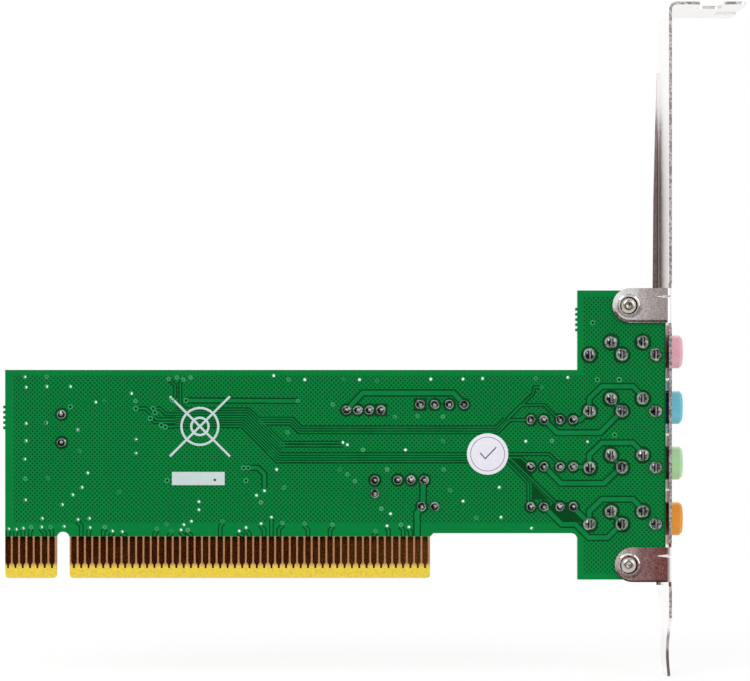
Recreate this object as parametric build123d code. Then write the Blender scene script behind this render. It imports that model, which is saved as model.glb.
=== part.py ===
from build123d import *
import os
from math import hypot, radians, tan

# Short sound card for a 32-bit expansion slot, upright as in use. Sizes are in millimetres.
# X runs along the contacts towards the bracket, Y from the solder side to the component side,
# Z out of the slot. The origin is the middle of the insertion edge, half way through the board.

# Edge connector
contact_pitch = 1.27
long_run_contacts = 49
key_positions = 2
short_run_contacts = 7
contact_width = 0.95
contact_plating = 0.05
contact_length = 4.5
contact_taper = 0.7
contact_tip_margin = 0.1
contact_to_key = 0.28
key_depth = 8.1
short_run_margin = 0.52
long_run_margin = 0.86
bevel_height = 1.8
bevel_angle = 20.0
connector_corner = 0.6

# Board outline
board_thickness = 1.6
body_height = 36.2
relief_length = 25.6
relief_height = 7.85
relief_corner = 1.1
relief_chamfer = 0.6
ear_behind_jacks = 1.05
ear_past_screw = 2.6
nub_teeth = 5
nub_pitch = 0.9
nub_tooth = 0.5
nub_reach = 0.35
body_nub_height = 27.95
ear_nub_below_top = 5.05

# Bracket sheet and its folds
sheet_thickness = 0.5
bend_radius = 0.3
board_to_bend = 0.25
bend_relief = 0.8
bracket_width = 18.42
flange_top = 100.1
flange_length = 13.0
flange_bend_radius = 0.8
flange_overhang = 3.17
flange_corner = 1.0
screw_slot_width = 4.3
screw_slot_depth = 6.6
screw_slot_from_end = 6.0
screw_slot_corner = 1.2
end_notch_length = 3.8
end_notch_width = 4.0
end_notch_from_near_edge = 11.5
lip_bottom = -2.6
lip_top = 89.4
lip_middle_reach = 1.2
lip_end_reach = 0.45
tongue_tip = -17.5
tongue_length = 8.1
tongue_width = 10.16
tongue_inset = 3.0
tongue_bow = 0.25
tongue_flare = 0.15
tongue_corner = 2.0
near_shoulder_rise = 2.6
far_shoulder_rise = 5.2
tab_width = 6.0
lower_tab_end_offset = 0.6
upper_tab_end_offset = 0.2
tab_rim_radius = 1.95
tab_rim_height = 0.3
tab_rib_radius = 0.38
tab_rib_length = 2.7
tab_rib_offset = 1.55

# Bracket screws
screw_radius = 1.5
screw_hole_clearance = 0.2
thread_clearance = 0.05
screw_head_radius = 2.7
screw_head_height = 1.9
screw_head_band = 0.9
screw_head_crown = 1.9
screw_tip_radius = 0.85
screw_tip_taper = 0.5
screw_tip_reach = 0.35
screw_setback = 6.45
lower_screw_height = 2.4
screw_to_lower_jack = 0.14
screw_to_upper_jack = 0.66

# Jacks
jack_count = 4
jack_width = 9.4
jack_gap = 0.4
jack_height = 11.0
jack_axis_height = 6.0
jack_face_gap = 0.85
jack_wall = 1.0
jack_front_wall = 1.0
jack_edge = 0.5
jack_rear_margin = 1.05
jack_window_length = 4.5
jack_window_width = 1.6
jack_window_offset = 1.9
collar_radius = 2.95
collar_clearance = 0.25
collar_reach = 2.5
collar_edge = 0.5
bore_radius = 1.8
sleeve_pin = 1.42
ring_switch_pin = 3.68
ring_pin = 7.29
tip_switch_pin = 9.18
tip_pin = 12.9
spring_row_offset = -0.5
switch_row_offset = 1.7
blade_thickness = 0.3
blade_width = 1.2
blade_hole_clearance = 0.12
blade_reach = 1.0
spring_drop = 0.6
spring_press = 0.15
spring_run = 2.0
spring_tail = 0.7
switch_drop = 1.2
switch_run = 1.6

# Electrolytic capacitors
can_radius = 2.5
can_height = 11.0
can_top_edge = 0.4
can_gap = 0.1
can_to_jack = 0.42
can_lead_pitch = 2.3
wire_width = 0.5
coupling_rows = (12.45, 19.4, 27.55)
input_can_x = 27.47
input_can_z = 15.9
output_can_x = 36.74
output_can_z = 12.49

# Crystal
crystal_inset = 9.8
crystal_z = 26.05
crystal_base_length = 11.05
crystal_base_width = 4.65
crystal_base_height = 0.5
crystal_rim = 0.4
crystal_can_height = 3.1
crystal_can_edge = 0.6
crystal_lead_pitch = 4.88

# Voltage regulator
regulator_x = 33.75
regulator_z = 17.1
regulator_radius = 2.3
regulator_flat = 1.4
regulator_height = 4.6
regulator_stand = 2.6
regulator_lead_pitch = 1.27
regulator_hole_pitch = 2.31
regulator_lead_thickness = 0.45
regulator_lead_width = 0.4
regulator_straight = 0.5

# Shrouded headers
header_pins = 4
header_wall = 0.8
header_floor = 2.0
pin_clearance = 0.05
small_header_x = 25.54
small_header_z = 29.25
small_header_pitch = 2.0
small_header_margin = 2.0
small_header_width = 4.6
small_header_height = 6.0
small_pin_width = 0.5
small_pin_length = 4.8
large_header_x = 39.14
large_header_z = 30.2
large_header_pitch = 2.54
large_header_margin = 2.4
large_header_width = 5.8
large_header_height = 9.0
large_pin_width = 0.64
large_pin_length = 7.6
header_slot_width = 1.2

# Audio controller
controller_x = -4.0
controller_z = 22.5
controller_long_leads = 24
controller_short_leads = 16
controller_lead_pitch = 0.8
controller_corner = 0.7
controller_height = 2.6
controller_stand = 0.15
controller_edge = 0.35
controller_mark_radius = 0.6
controller_mark_depth = 0.1
controller_mark_inset = 1.6
gull_exit = 1.3
gull_slope = 0.6
gull_span = 1.6
gull_thickness = 0.15
gull_width = 0.35

# Chip capacitors and chip resistors
chip_length = 2.0
chip_width = 1.25
chip_capacitor_height = 0.9
chip_resistor_height = 0.5
chip_cap_length = 0.4
chip_capacitors_a_row = 4
chip_capacitor_spacing = 4.8
chip_to_controller = 1.0
chip_resistor_rows = 4
chip_resistor_columns = 2
chip_resistor_spacing = 2.2
chip_resistor_bottom = 12.4
chip_to_can = 1.0

# Solder joints
lead_hole_clearance = 0.12
jack_joint_radius = 1.25
jack_joint_height = 0.9
jack_joint_slope = 0.55
small_joint_radius = 0.9
small_joint_height = 0.6
small_joint_slope = 0.4

# Inspection sticker
sticker_x = 47.05
sticker_z = 21.6
sticker_radius = 3.6
sticker_thickness = 0.1

# Places that follow from the sizes above
solder_face = -board_thickness / 2
component_face = board_thickness / 2
contact_positions = long_run_contacts + key_positions + short_run_contacts
contact_row_end = (contact_positions - 1) * contact_pitch / 2
contact_tip = bevel_height + contact_tip_margin
contact_shoulder = contact_tip + contact_taper
contact_top = contact_shoulder + contact_length
key_x = contact_row_end - (long_run_contacts - 1 + (key_positions + 1) / 2) * contact_pitch
key_width = (key_positions + 1) * contact_pitch - contact_width - 2 * contact_to_key
bracket_gap = bend_radius + board_to_bend
jack_length = tip_pin + jack_rear_margin
jack_overhang = bracket_gap - jack_face_gap
board_left = -contact_row_end - short_run_margin
connector_right = contact_row_end + long_run_margin
ear_left = connector_right + relief_length
board_right = ear_left + ear_behind_jacks + jack_length - jack_overhang
jack_front = board_right + jack_overhang
jack_back = jack_front - jack_length
jack_axis_y = component_face + jack_axis_height
jack_pitch = jack_width + jack_gap
lowest_jack = lower_screw_height + screw_head_radius + screw_to_lower_jack + jack_width / 2
jack_heights = [lowest_jack + jack_pitch * place for place in range(jack_count)]
upper_screw_height = jack_heights[-1] + jack_width / 2 + screw_to_upper_jack + screw_head_radius
screw_heights = (lower_screw_height, upper_screw_height)
screw_x = board_right - screw_setback
ear_bottom = lower_screw_height - ear_past_screw
ear_top = upper_screw_height + ear_past_screw
bracket_inner = board_right + bracket_gap
bracket_outer = bracket_inner + sheet_thickness
near_edge = solder_face - sheet_thickness
far_edge = near_edge + bracket_width
flange_under = flange_top - sheet_thickness
flange_end = bracket_outer + flange_length
collar_end = bracket_outer + collar_reach
can_columns = [jack_back - can_to_jack - can_radius]
can_columns.append(can_columns[0] - 2 * can_radius - can_gap)
crystal_x = board_left + crystal_inset
controller_length = (controller_long_leads - 1) * controller_lead_pitch + 2 * controller_corner
controller_width = (controller_short_leads - 1) * controller_lead_pitch + 2 * controller_corner


def plate(outline, y_low, y_high):
    """An outline drawn in X and Z, as a plate between two depths."""
    back = Plane((0, y_high, 0), x_dir=(1, 0, 0), z_dir=(0, -1, 0))
    return extrude(back * outline, y_high - y_low, dir=(0, -1, 0))


def bar(section, z_low, z_high):
    """A section drawn in X and Y, as a bar between two heights."""
    return extrude(Plane.XY.offset(z_low) * section, z_high - z_low, dir=(0, 0, 1))


def rail(section, x_low, x_high):
    """A section drawn in Y and Z, as a rail between two places along X."""
    return extrude(Plane.YZ.offset(x_low) * section, x_high - x_low, dir=(1, 0, 0))


def block(x_low, x_high, y_low, y_high, z_low, z_high):
    """A rectangular block between six faces."""
    middle = Pos((x_low + x_high) / 2, (y_low + y_high) / 2, (z_low + z_high) / 2)
    return middle * Box(x_high - x_low, y_high - y_low, z_high - z_low)


def standing(x, z):
    """The place on the component side where a part stands, with its own z away from the board."""
    return Plane((x, component_face, z), x_dir=(1, 0, 0), z_dir=(0, 1, 0))


def hanging(x, z):
    """The place on the solder side where a part sits, with its own z away from the board."""
    return Plane((x, solder_face, z), x_dir=(1, 0, 0), z_dir=(0, -1, 0))


def strip(path, thickness):
    """A flat band of even thickness along a path of points, with mitred bends and square ends."""
    sides = []
    for (x0, y0), (x1, y1) in zip(path, path[1:]):
        run = hypot(x1 - x0, y1 - y0)
        sides.append(((y0 - y1) / run, (x1 - x0) / run))
    left, right = [], []
    for (x, y), (ax, ay), (bx, by) in zip(path, sides[:1] + sides, sides + sides[-1:]):
        share = thickness / 2 / (1 + ax * bx + ay * by)
        left.append((x + (ax + bx) * share, y + (ay + by) * share))
        right.append((x - (ax + bx) * share, y - (ay + by) * share))
    return Polygon(*left, *reversed(right), align=None)


def turned(profile):
    """A body of revolution about its own z, from a profile of radius and height."""
    return revolve(Plane.XZ * Polygon(*profile, align=None), Axis.Z)


def rounded(outline, corners):
    """An outline with the corner nearest to each given point rounded to the given radius."""
    for x, y, radius in corners:
        outline = fillet(outline.vertices().sort_by_distance((x, y))[0], radius)
    return outline


def lead_places():
    """The drilled places of the wire, strip and pin leads on the board."""
    places = []
    for x, z, along_x in capacitor_places():
        dx, dz = (can_lead_pitch / 2, 0) if along_x else (0, can_lead_pitch / 2)
        places += [(x - dx, z - dz, wire_width), (x + dx, z + dz, wire_width)]
    for side in (-1, 1):
        places.append((crystal_x, crystal_z + side * crystal_lead_pitch / 2, wire_width))
    for side in (-1, 0, 1):
        places.append((regulator_x + side * regulator_hole_pitch, regulator_z, regulator_lead_thickness))
    for x in header_pin_places(small_header_x, small_header_pitch):
        places.append((x, small_header_z, small_pin_width))
    for x in header_pin_places(large_header_x, large_header_pitch):
        places.append((x, large_header_z, large_pin_width))
    return places


def capacitor_places():
    """Middle of each electrolytic capacitor, and whether its leads lie side by side along X."""
    places = [(x, z, True) for x in can_columns for z in coupling_rows]
    return places + [(input_can_x, input_can_z, False), (output_can_x, output_can_z, True)]


def header_pin_places(middle, pitch):
    """The places along X of the pins of a header."""
    return [middle + (pin - (header_pins - 1) / 2) * pitch for pin in range(header_pins)]


def blade_places():
    """The drilled places of the jack contacts on the board."""
    springs = [(jack_front - pin, spring_row_offset) for pin in (sleeve_pin, ring_pin, tip_pin)]
    switches = [(jack_front - pin, switch_row_offset) for pin in (ring_switch_pin, tip_switch_pin)]
    return [(x, height + row) for height in jack_heights for x, row in springs + switches]


def circuit_board():
    """The laminate plate: keyed and bevelled connector, relief, ear, break-off nubs and drilled holes."""
    outline = Polygon(
        (board_left, 0), (connector_right, 0), (connector_right, relief_height - relief_chamfer),
        (connector_right + relief_chamfer, relief_height), (ear_left, relief_height),
        (ear_left, ear_bottom), (board_right, ear_bottom), (board_right, ear_top),
        (ear_left, ear_top), (ear_left, body_height), (board_left, body_height), align=None)
    outline = rounded(outline, [
        (board_left, 0, connector_corner), (connector_right, 0, connector_corner),
        (ear_left, relief_height, relief_corner)])
    for edge_x, middle in ((board_left, body_nub_height), (ear_left, ear_top - ear_nub_below_top)):
        for tooth in range(nub_teeth):
            z = middle + (tooth - (nub_teeth - 1) / 2) * nub_pitch
            outline += Pos(edge_x, z) * Rectangle(2 * nub_reach, nub_tooth)
    key = Pos(key_x, (key_depth - key_width / 2) / 2) * Rectangle(key_width, key_depth - key_width / 2)
    outline -= key
    outline -= Pos(key_x, key_depth - key_width / 2) * Circle(key_width / 2)
    for side in (-1, 1):
        outline = fillet(outline.vertices().sort_by_distance((key_x + side * key_width / 2, 0))[0], connector_corner)
    holes = [Pos(screw_x, z) * Circle(screw_radius + screw_hole_clearance) for z in screw_heights]
    blade_hole = hypot(blade_width, blade_thickness) / 2 + blade_hole_clearance
    holes += [Pos(x, z) * RegularPolygon(blade_hole, 6, major_radius=False) for x, z in blade_places()]
    for x, z, width in lead_places():
        lead_hole = hypot(width, width) / 2 + lead_hole_clearance
        holes.append(Pos(x, z) * RegularPolygon(lead_hole, 6, major_radius=False))
    board = plate(outline - holes, solder_face, component_face)
    cut = bevel_height * tan(radians(bevel_angle))
    for face, inward in ((solder_face, 1), (component_face, -1)):
        wedge = Polygon((face, 0), (face + inward * cut, 0), (face, bevel_height), align=None)
        board -= rail(wedge, board_left - 1, connector_right + 1)
    return board


def edge_contacts(y_low):
    """One row of plated contacts, each with a tapered tail towards the bevel."""
    contact = Polygon(
        (-contact_width / 2, contact_top), (-contact_width / 2, contact_shoulder), (0, contact_tip),
        (contact_width / 2, contact_shoulder), (contact_width / 2, contact_top), align=None)
    contact = plate(contact, y_low, y_low + contact_plating)
    key = range(long_run_contacts, long_run_contacts + key_positions)
    places = [place for place in range(contact_positions) if place not in key]
    return [Pos(contact_row_end - place * contact_pitch, 0, 0) * contact for place in places]


def bracket_flange():
    """The outward fold at the top, with the open screw slot and the notch in its end."""
    fold = Polygon(
        (bracket_inner, flange_under - 3 * flange_bend_radius),
        (bracket_outer, flange_under - 3 * flange_bend_radius),
        (bracket_outer, flange_under), (flange_end, flange_under),
        (flange_end, flange_top), (bracket_inner, flange_top), align=None)
    fold = rounded(fold, [
        (bracket_outer, flange_under, flange_bend_radius),
        (bracket_inner, flange_top, flange_bend_radius + sheet_thickness)])
    flange = plate(fold, near_edge, far_edge)
    flange += block(
        bracket_outer + flange_bend_radius, flange_end, far_edge - 1, far_edge + flange_overhang,
        flange_under, flange_top)
    slot_x = flange_end - screw_slot_from_end
    slot = Pos(slot_x, near_edge) * Rectangle(screw_slot_width, 2 * screw_slot_depth)
    slot = fillet(slot.vertices(), screw_slot_corner)
    notch_y = near_edge + end_notch_from_near_edge + end_notch_width / 2
    notch = Pos(flange_end, notch_y) * Rectangle(2 * end_notch_length, end_notch_width)
    flange -= bar(slot + notch, flange_under - 1, flange_top + 1)
    corners = flange.edges().filter_by(Axis.Z).group_by(Axis.X)[-1].sort_by(Axis.Y)
    return fillet([corners[0], corners[-1]], flange_corner)


def bracket_lip():
    """The inward stiffening fold along the far edge, deepest half way along."""
    reach = bracket_inner - lip_middle_reach - 1
    fold_start = far_edge - sheet_thickness - bend_radius
    fold = Polygon(
        (bracket_inner, fold_start - 1), (bracket_outer, fold_start - 1), (bracket_outer, far_edge),
        (reach, far_edge), (reach, far_edge - sheet_thickness),
        (bracket_inner, far_edge - sheet_thickness), align=None)
    fold = rounded(fold, [
        (bracket_outer, far_edge, bend_radius + sheet_thickness),
        (bracket_inner, far_edge - sheet_thickness, bend_radius)])
    lip = bar(fold, lip_bottom, lip_top)
    end_x = bracket_inner - lip_end_reach
    low, high = (end_x, lip_bottom), (end_x, lip_top)
    middle = (bracket_inner - lip_middle_reach, (lip_bottom + lip_top) / 2)
    trim = make_face([
        ThreePointArc(low, middle, high), Line(high, (reach - 1, lip_top)),
        Line((reach - 1, lip_top), (reach - 1, lip_bottom)), Line((reach - 1, lip_bottom), low)])
    return lip - plate(trim, fold_start - 1, far_edge + 1)


def bracket_tab(height, end_offset):
    """A tab folded from the near edge onto the solder face, with a raised rim and a stiffening rib."""
    fold_end = solder_face + bend_radius + 1
    round_x = screw_x + end_offset
    fold = Polygon(
        (round_x, near_edge), (bracket_outer, near_edge), (bracket_outer, fold_end),
        (bracket_inner, fold_end), (bracket_inner, solder_face), (round_x, solder_face), align=None)
    fold = rounded(fold, [
        (bracket_outer, near_edge, bend_radius + sheet_thickness),
        (bracket_inner, solder_face, bend_radius)])
    tab = bar(fold, height - tab_width / 2, height + tab_width / 2)
    tab += plate(Pos(round_x, height) * Circle(tab_width / 2), near_edge, solder_face)
    rim = hanging(screw_x, height) * Pos(0, 0, sheet_thickness)
    tab += extrude(rim * Circle(tab_rim_radius), tab_rim_height, taper=30)
    hole = Circle(screw_radius + thread_clearance)
    tab -= plate(Pos(screw_x, height) * hole, near_edge - 1, solder_face + 1)
    rib = Rot(0, -90, 0) * Cone(tab_rib_radius, 0, tab_rib_length)
    return tab - Pos(bracket_outer - tab_rib_length / 2, near_edge, height + tab_rib_offset) * rib


def bracket_tongue():
    """The bowed tongue that drops behind the chassis edge, with its tip flared outward."""
    top, middle = tongue_tip + tongue_length, tongue_tip + tongue_length / 2
    inner, outer = bracket_inner - tongue_bow, bracket_outer - tongue_bow
    inner_tip, outer_tip = bracket_inner + tongue_flare, bracket_outer + tongue_flare
    side = make_face([
        ThreePointArc((bracket_inner, top), (inner, middle), (inner_tip, tongue_tip)),
        Line((inner_tip, tongue_tip), (outer_tip, tongue_tip)),
        ThreePointArc((outer_tip, tongue_tip), (outer, middle), (bracket_outer, top)),
        Line((bracket_outer, top), (bracket_inner, top))])
    low = near_edge + tongue_inset
    tongue = plate(side, low, low + tongue_width)
    return fillet(tongue.edges().filter_by(Axis.X).group_by(Axis.Z)[0], tongue_corner)


def bracket():
    """The slot bracket, folded from one sheet."""
    shoulder = tongue_tip + tongue_length
    tongue_near = near_edge + tongue_inset
    face = Polygon(
        (near_edge, shoulder + near_shoulder_rise), (tongue_near, shoulder),
        (tongue_near + tongue_width, shoulder), (far_edge, shoulder + far_shoulder_rise),
        (far_edge, flange_under - flange_bend_radius), (near_edge, flange_under - flange_bend_radius),
        align=None)
    fold = bend_radius + sheet_thickness
    lip_length = lip_top - lip_bottom + 2 * bend_relief
    face -= Pos(far_edge, (lip_top + lip_bottom) / 2) * Rectangle(2 * fold, lip_length)
    for height in screw_heights:
        face -= Pos(near_edge, height) * Rectangle(2 * fold, tab_width + 2 * bend_relief)
    for height in jack_heights:
        face -= Pos(jack_axis_y, height) * Circle(collar_radius + collar_clearance)
    sheet = rail(face, bracket_inner, bracket_outer)
    sheet += bracket_flange()
    sheet += bracket_lip()
    sheet += bracket_tongue()
    for height, end_offset in zip(screw_heights, (lower_tab_end_offset, upper_tab_end_offset)):
        sheet += bracket_tab(height, end_offset)
    return sheet


def bracket_screw(height):
    """A pan-head screw through the board into a bracket tab."""
    depth = board_thickness + sheet_thickness + tab_rim_height + screw_tip_reach
    return standing(screw_x, height) * turned([
        (0, -depth), (screw_tip_radius, -depth), (screw_radius, screw_tip_taper - depth),
        (screw_radius, 0), (screw_head_radius, 0), (screw_head_radius, screw_head_band),
        (screw_head_crown, screw_head_height), (0, screw_head_height)])


def jack_housing():
    """One jack moulding with its axis at height zero: body, collar, plug bore, contact chamber, windows."""
    top = component_face + jack_height
    half = jack_width / 2
    body = block(jack_back, jack_front, component_face, top, -half, half)
    body = chamfer(body.edges().filter_by(Axis.X).group_by(Axis.Y)[-1], jack_edge)
    axis = Plane((jack_front, jack_axis_y, 0), x_dir=(0, 1, 0), z_dir=(1, 0, 0))
    length = collar_end - jack_front
    collar = turned([
        (0, 0), (collar_radius, 0), (collar_radius, length - collar_edge),
        (collar_radius - collar_edge, length), (0, length)])
    body += axis * collar
    chamber_front = jack_front - jack_front_wall
    chamber_half = half - jack_wall
    body -= block(
        jack_back + jack_wall / 2, chamber_front, component_face - 1, top - jack_wall,
        -chamber_half, chamber_half)
    bore = Cylinder(bore_radius, 3 * length)
    body -= axis * bore
    window_x = (jack_back + chamber_front) / 2
    for side in (-1, 1):
        body -= block(
            window_x - jack_window_length / 2, window_x + jack_window_length / 2, top - 2 * jack_wall, top + 1,
            side * jack_window_offset - jack_window_width / 2,
            side * jack_window_offset + jack_window_width / 2)
    return body


def jack_contacts():
    """The five contacts of one jack with its axis at height zero: three springs and two switch strips."""
    tip = solder_face - blade_reach
    plug = jack_axis_y - bore_radius
    paths = []
    for pin, forward in ((sleeve_pin, -1), (ring_pin, 1), (tip_pin, 1)):
        x = jack_front - pin
        bump = x + forward * spring_run
        paths.append((spring_row_offset, [
            (x, tip), (x, plug - spring_drop), (bump, plug + spring_press),
            (bump + forward * spring_tail, plug - spring_press)]))
    for pin in (ring_switch_pin, tip_switch_pin):
        x = jack_front - pin
        paths.append((switch_row_offset, [(x, tip), (x, plug - switch_drop), (x - switch_run, plug - switch_drop)]))
    half = blade_width / 2
    return [bar(strip(path, blade_thickness), row - half, row + half) for row, path in paths]


def capacitor_can():
    """A sleeved aluminium can."""
    return turned([
        (0, 0), (can_radius, 0), (can_radius, can_height - can_top_edge),
        (can_radius - can_top_edge, can_height), (0, can_height)])


def through_lead(x, z, width):
    """A lead from the foot of a part down to the solder face."""
    half = width / 2
    return block(x - half, x + half, solder_face, component_face, z - half, z + half)


def capacitor_leads():
    """The two wire leads of every electrolytic capacitor."""
    wires = lead_places()[:2 * len(capacitor_places())]
    return [through_lead(x, z, width) for x, z, width in wires]


def crystal_base():
    """The flanged base plate of the crystal."""
    outline = Rot(0, 0, 90) * SlotOverall(crystal_base_length, crystal_base_width)
    return standing(crystal_x, crystal_z) * extrude(outline, crystal_base_height)


def crystal_can():
    """The drawn cover of the crystal."""
    length, width = crystal_base_length - 2 * crystal_rim, crystal_base_width - 2 * crystal_rim
    outline = Rot(0, 0, 90) * SlotOverall(length, width)
    cover = extrude(outline, crystal_can_height)
    cover = chamfer(cover.faces().sort_by(Axis.Z)[-1].edges(), crystal_can_edge)
    return standing(crystal_x, crystal_z) * Pos(0, 0, crystal_base_height) * cover


def crystal_leads():
    """The two wire leads of the crystal."""
    half = crystal_lead_pitch / 2
    return [through_lead(crystal_x, crystal_z + side * half, wire_width) for side in (-1, 1)]


def regulator_body():
    """The moulded three-lead case with one flat side."""
    outline = Circle(regulator_radius)
    outline -= Pos(0, regulator_flat + regulator_radius) * Rectangle(2 * regulator_radius, 2 * regulator_radius)
    return standing(regulator_x, regulator_z) * Pos(0, 0, regulator_stand) * extrude(outline, regulator_height)


def regulator_leads():
    """The three leads of the regulator, the outer two spread to their holes."""
    top = component_face + regulator_stand
    leads = []
    for side in (-1, 0, 1):
        upper, lower = regulator_x + side * regulator_lead_pitch, regulator_x + side * regulator_hole_pitch
        path = [
            (upper, top), (upper, top - regulator_straight),
            (lower, component_face + regulator_straight), (lower, solder_face)]
        half = regulator_lead_width / 2
        leads.append(bar(strip(path, regulator_lead_thickness), regulator_z - half, regulator_z + half))
    return leads


def header_shroud(x, z, pitch, margin, width, height, pin_width):
    """The open-topped moulding of a header, with two polarising slots in one long wall."""
    length = (header_pins - 1) * pitch + 2 * margin
    upright = (Align.CENTER, Align.CENTER, Align.MIN)
    shroud = Box(length, width, height, align=upright)
    cavity = Box(length - 2 * header_wall, width - 2 * header_wall, height, align=upright)
    shroud -= Pos(0, 0, header_floor) * cavity
    for side in (-1, 1):
        slot = Box(header_slot_width, width, height, align=upright)
        shroud -= Pos(side * length / 4, -width / 2, header_floor) * slot
    hole = Box(pin_width + 2 * pin_clearance, pin_width + 2 * pin_clearance, 3 * header_floor)
    for place in header_pin_places(0, pitch):
        shroud -= Pos(place, 0, 0) * hole
    return standing(x, z) * shroud


def header_pin_row(x, z, pitch, pin_width, pin_length):
    """The square pins of a header, from the solder face up into the shroud."""
    half, top = pin_width / 2, component_face + pin_length
    return [block(place - half, place + half, solder_face, top, z - half, z + half)
            for place in header_pin_places(x, pitch)]


def controller_body():
    """The moulded case of the audio controller with its corner mark."""
    case = Box(controller_length, controller_width, controller_height,
               align=(Align.CENTER, Align.CENTER, Align.MIN))
    case = chamfer(case.faces().sort_by(Axis.Z)[-1].edges(), controller_edge)
    mark = Cylinder(controller_mark_radius, 2 * controller_mark_depth)
    mark_x, mark_y = controller_length / 2 - controller_mark_inset, controller_width / 2 - controller_mark_inset
    case -= Pos(-mark_x, mark_y, controller_height) * mark
    return standing(controller_x, controller_z) * Pos(0, 0, controller_stand) * case


def controller_leads():
    """The gull-wing leads on the four sides of the audio controller."""
    foot = gull_thickness / 2
    rise = (gull_exit - foot) / gull_slope
    path = [(-gull_thickness, gull_exit + gull_thickness * rise), (gull_slope, foot), (gull_span, foot)]
    lead = extrude(Plane.XZ * strip(path, gull_thickness), gull_width / 2, both=True)
    lead &= Box(2 * gull_span, gull_width, 4 * gull_exit, align=(Align.MIN, Align.CENTER, Align.CENTER))
    rows = []
    for turn, count, reach in (
            (0, controller_short_leads, controller_length / 2), (90, controller_long_leads, controller_width / 2)):
        for side in (turn, turn + 180):
            for place in range(count):
                along = (place - (count - 1) / 2) * controller_lead_pitch
                rows.append(standing(controller_x, controller_z) * Rot(0, 0, side) * Pos(reach, along, 0) * lead)
    return rows


def chip_places():
    """Middle, turn and height of each chip part, capacitors first."""
    away = controller_width / 2 + gull_span + chip_to_controller + chip_width / 2
    capacitors = []
    for side in (-1, 1):
        for place in range(chip_capacitors_a_row):
            along = (place - (chip_capacitors_a_row - 1) / 2) * chip_capacitor_spacing
            capacitors.append((controller_x + along, controller_z + side * away, chip_capacitor_height))
    resistors = []
    for column in range(chip_resistor_columns):
        x = can_columns[-1] - can_radius - chip_to_can - chip_length / 2
        x -= column * (chip_length + chip_to_can)
        for row in range(chip_resistor_rows):
            resistors.append((x, chip_resistor_bottom + row * chip_resistor_spacing, chip_resistor_height))
    return capacitors, resistors


def chip_bodies(places):
    """The middles of chip parts, between their end caps."""
    half = chip_length / 2 - chip_cap_length
    return [block(x - half, x + half, component_face, component_face + height, z - chip_width / 2, z + chip_width / 2)
            for x, z, height in places]


def chip_end_caps(places):
    """The two metal end caps of every chip part."""
    caps = []
    for x, z, height in places:
        for side in (-1, 1):
            middle = x + side * (chip_length - chip_cap_length) / 2
            caps.append(block(
                middle - chip_cap_length / 2, middle + chip_cap_length / 2,
                component_face, component_face + height, z - chip_width / 2, z + chip_width / 2))
    return caps


def solder_crown(radius, height, slope, sides):
    """A domed solder joint at the origin of the solder side."""
    crown = extrude(hanging(0, 0) * RegularPolygon(radius, sides), height)
    return chamfer(crown.faces().sort_by(Axis.Y)[0].edges(), slope)


def jack_joints():
    """The solder joints round the blades of the jack contacts."""
    crown = solder_crown(jack_joint_radius, jack_joint_height, jack_joint_slope, 8)
    crown -= block(
        -blade_thickness / 2, blade_thickness / 2, solder_face - 2 * blade_reach, solder_face,
        -blade_width / 2, blade_width / 2)
    return [Pos(x, 0, z) * crown for x, z in blade_places()]


def lead_joints():
    """The solder joints over the wire, strip and pin leads."""
    crown = solder_crown(small_joint_radius, small_joint_height, small_joint_slope, 6)
    return [Pos(x, 0, z) * crown for x, z, width in lead_places()]


def inspection_sticker():
    """The round sticker on the solder face."""
    return extrude(hanging(sticker_x, sticker_z) * Circle(sticker_radius), sticker_thickness)


pieces = {
    "circuit_board": [circuit_board()],
    "solder_side_contacts": edge_contacts(solder_face - contact_plating),
    "component_side_contacts": edge_contacts(component_face),
    "bracket": [bracket()],
    "bracket_screws": [bracket_screw(height) for height in screw_heights],
    "capacitor_leads": capacitor_leads(),
    "crystal_base": [crystal_base()],
    "crystal_can": [crystal_can()],
    "crystal_leads": crystal_leads(),
    "regulator_body": [regulator_body()],
    "regulator_leads": regulator_leads(),
    "audio_controller": [controller_body()],
    "audio_controller_leads": controller_leads(),
    "jack_solder_joints": jack_joints(),
    "lead_solder_joints": lead_joints(),
    "inspection_sticker": [inspection_sticker()],
}

housing = jack_housing()
contacts = jack_contacts()
for name, height in zip(("rear_out", "line_out", "line_in", "microphone"), jack_heights):
    pieces[f"{name}_jack_housing"] = [Pos(0, 0, height) * housing]
    pieces[f"{name}_jack_contacts"] = [Pos(0, 0, height) * contact for contact in contacts]

can = capacitor_can()
can_names = [f"coupling_capacitor_{number}" for number in range(1, len(can_columns) * len(coupling_rows) + 1)]
can_names += ["input_capacitor", "output_capacitor"]
for name, (x, z, along_x) in zip(can_names, capacitor_places()):
    pieces[name] = [standing(x, z) * can]

small_header = (small_header_x, small_header_z, small_header_pitch)
large_header = (large_header_x, large_header_z, large_header_pitch)
pieces["small_header_shroud"] = [header_shroud(
    *small_header, small_header_margin, small_header_width, small_header_height, small_pin_width)]
pieces["large_header_shroud"] = [header_shroud(
    *large_header, large_header_margin, large_header_width, large_header_height, large_pin_width)]
pieces["small_header_pins"] = header_pin_row(*small_header, small_pin_width, small_pin_length)
pieces["large_header_pins"] = header_pin_row(*large_header, large_pin_width, large_pin_length)

chip_capacitors, chip_resistors = chip_places()
pieces["chip_capacitors"] = chip_bodies(chip_capacitors)
pieces["chip_resistors"] = chip_bodies(chip_resistors)
pieces["chip_end_caps"] = chip_end_caps(chip_capacitors + chip_resistors)

os.makedirs("parts", exist_ok=True)
for name, solids in pieces.items():
    export_step(Compound(solids), f"parts/{name}.step")
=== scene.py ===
"""Looks of a short add-in sound card: green mask, copper tracks, solder, folded steel and coloured sockets.

Places are in millimetres in the card's own frame: X along the edge contacts towards the bracket, Y from the
solder side to the component side, Z up out of the slot. A mesh is scaled to metres when its piece is made.
"""

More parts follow.
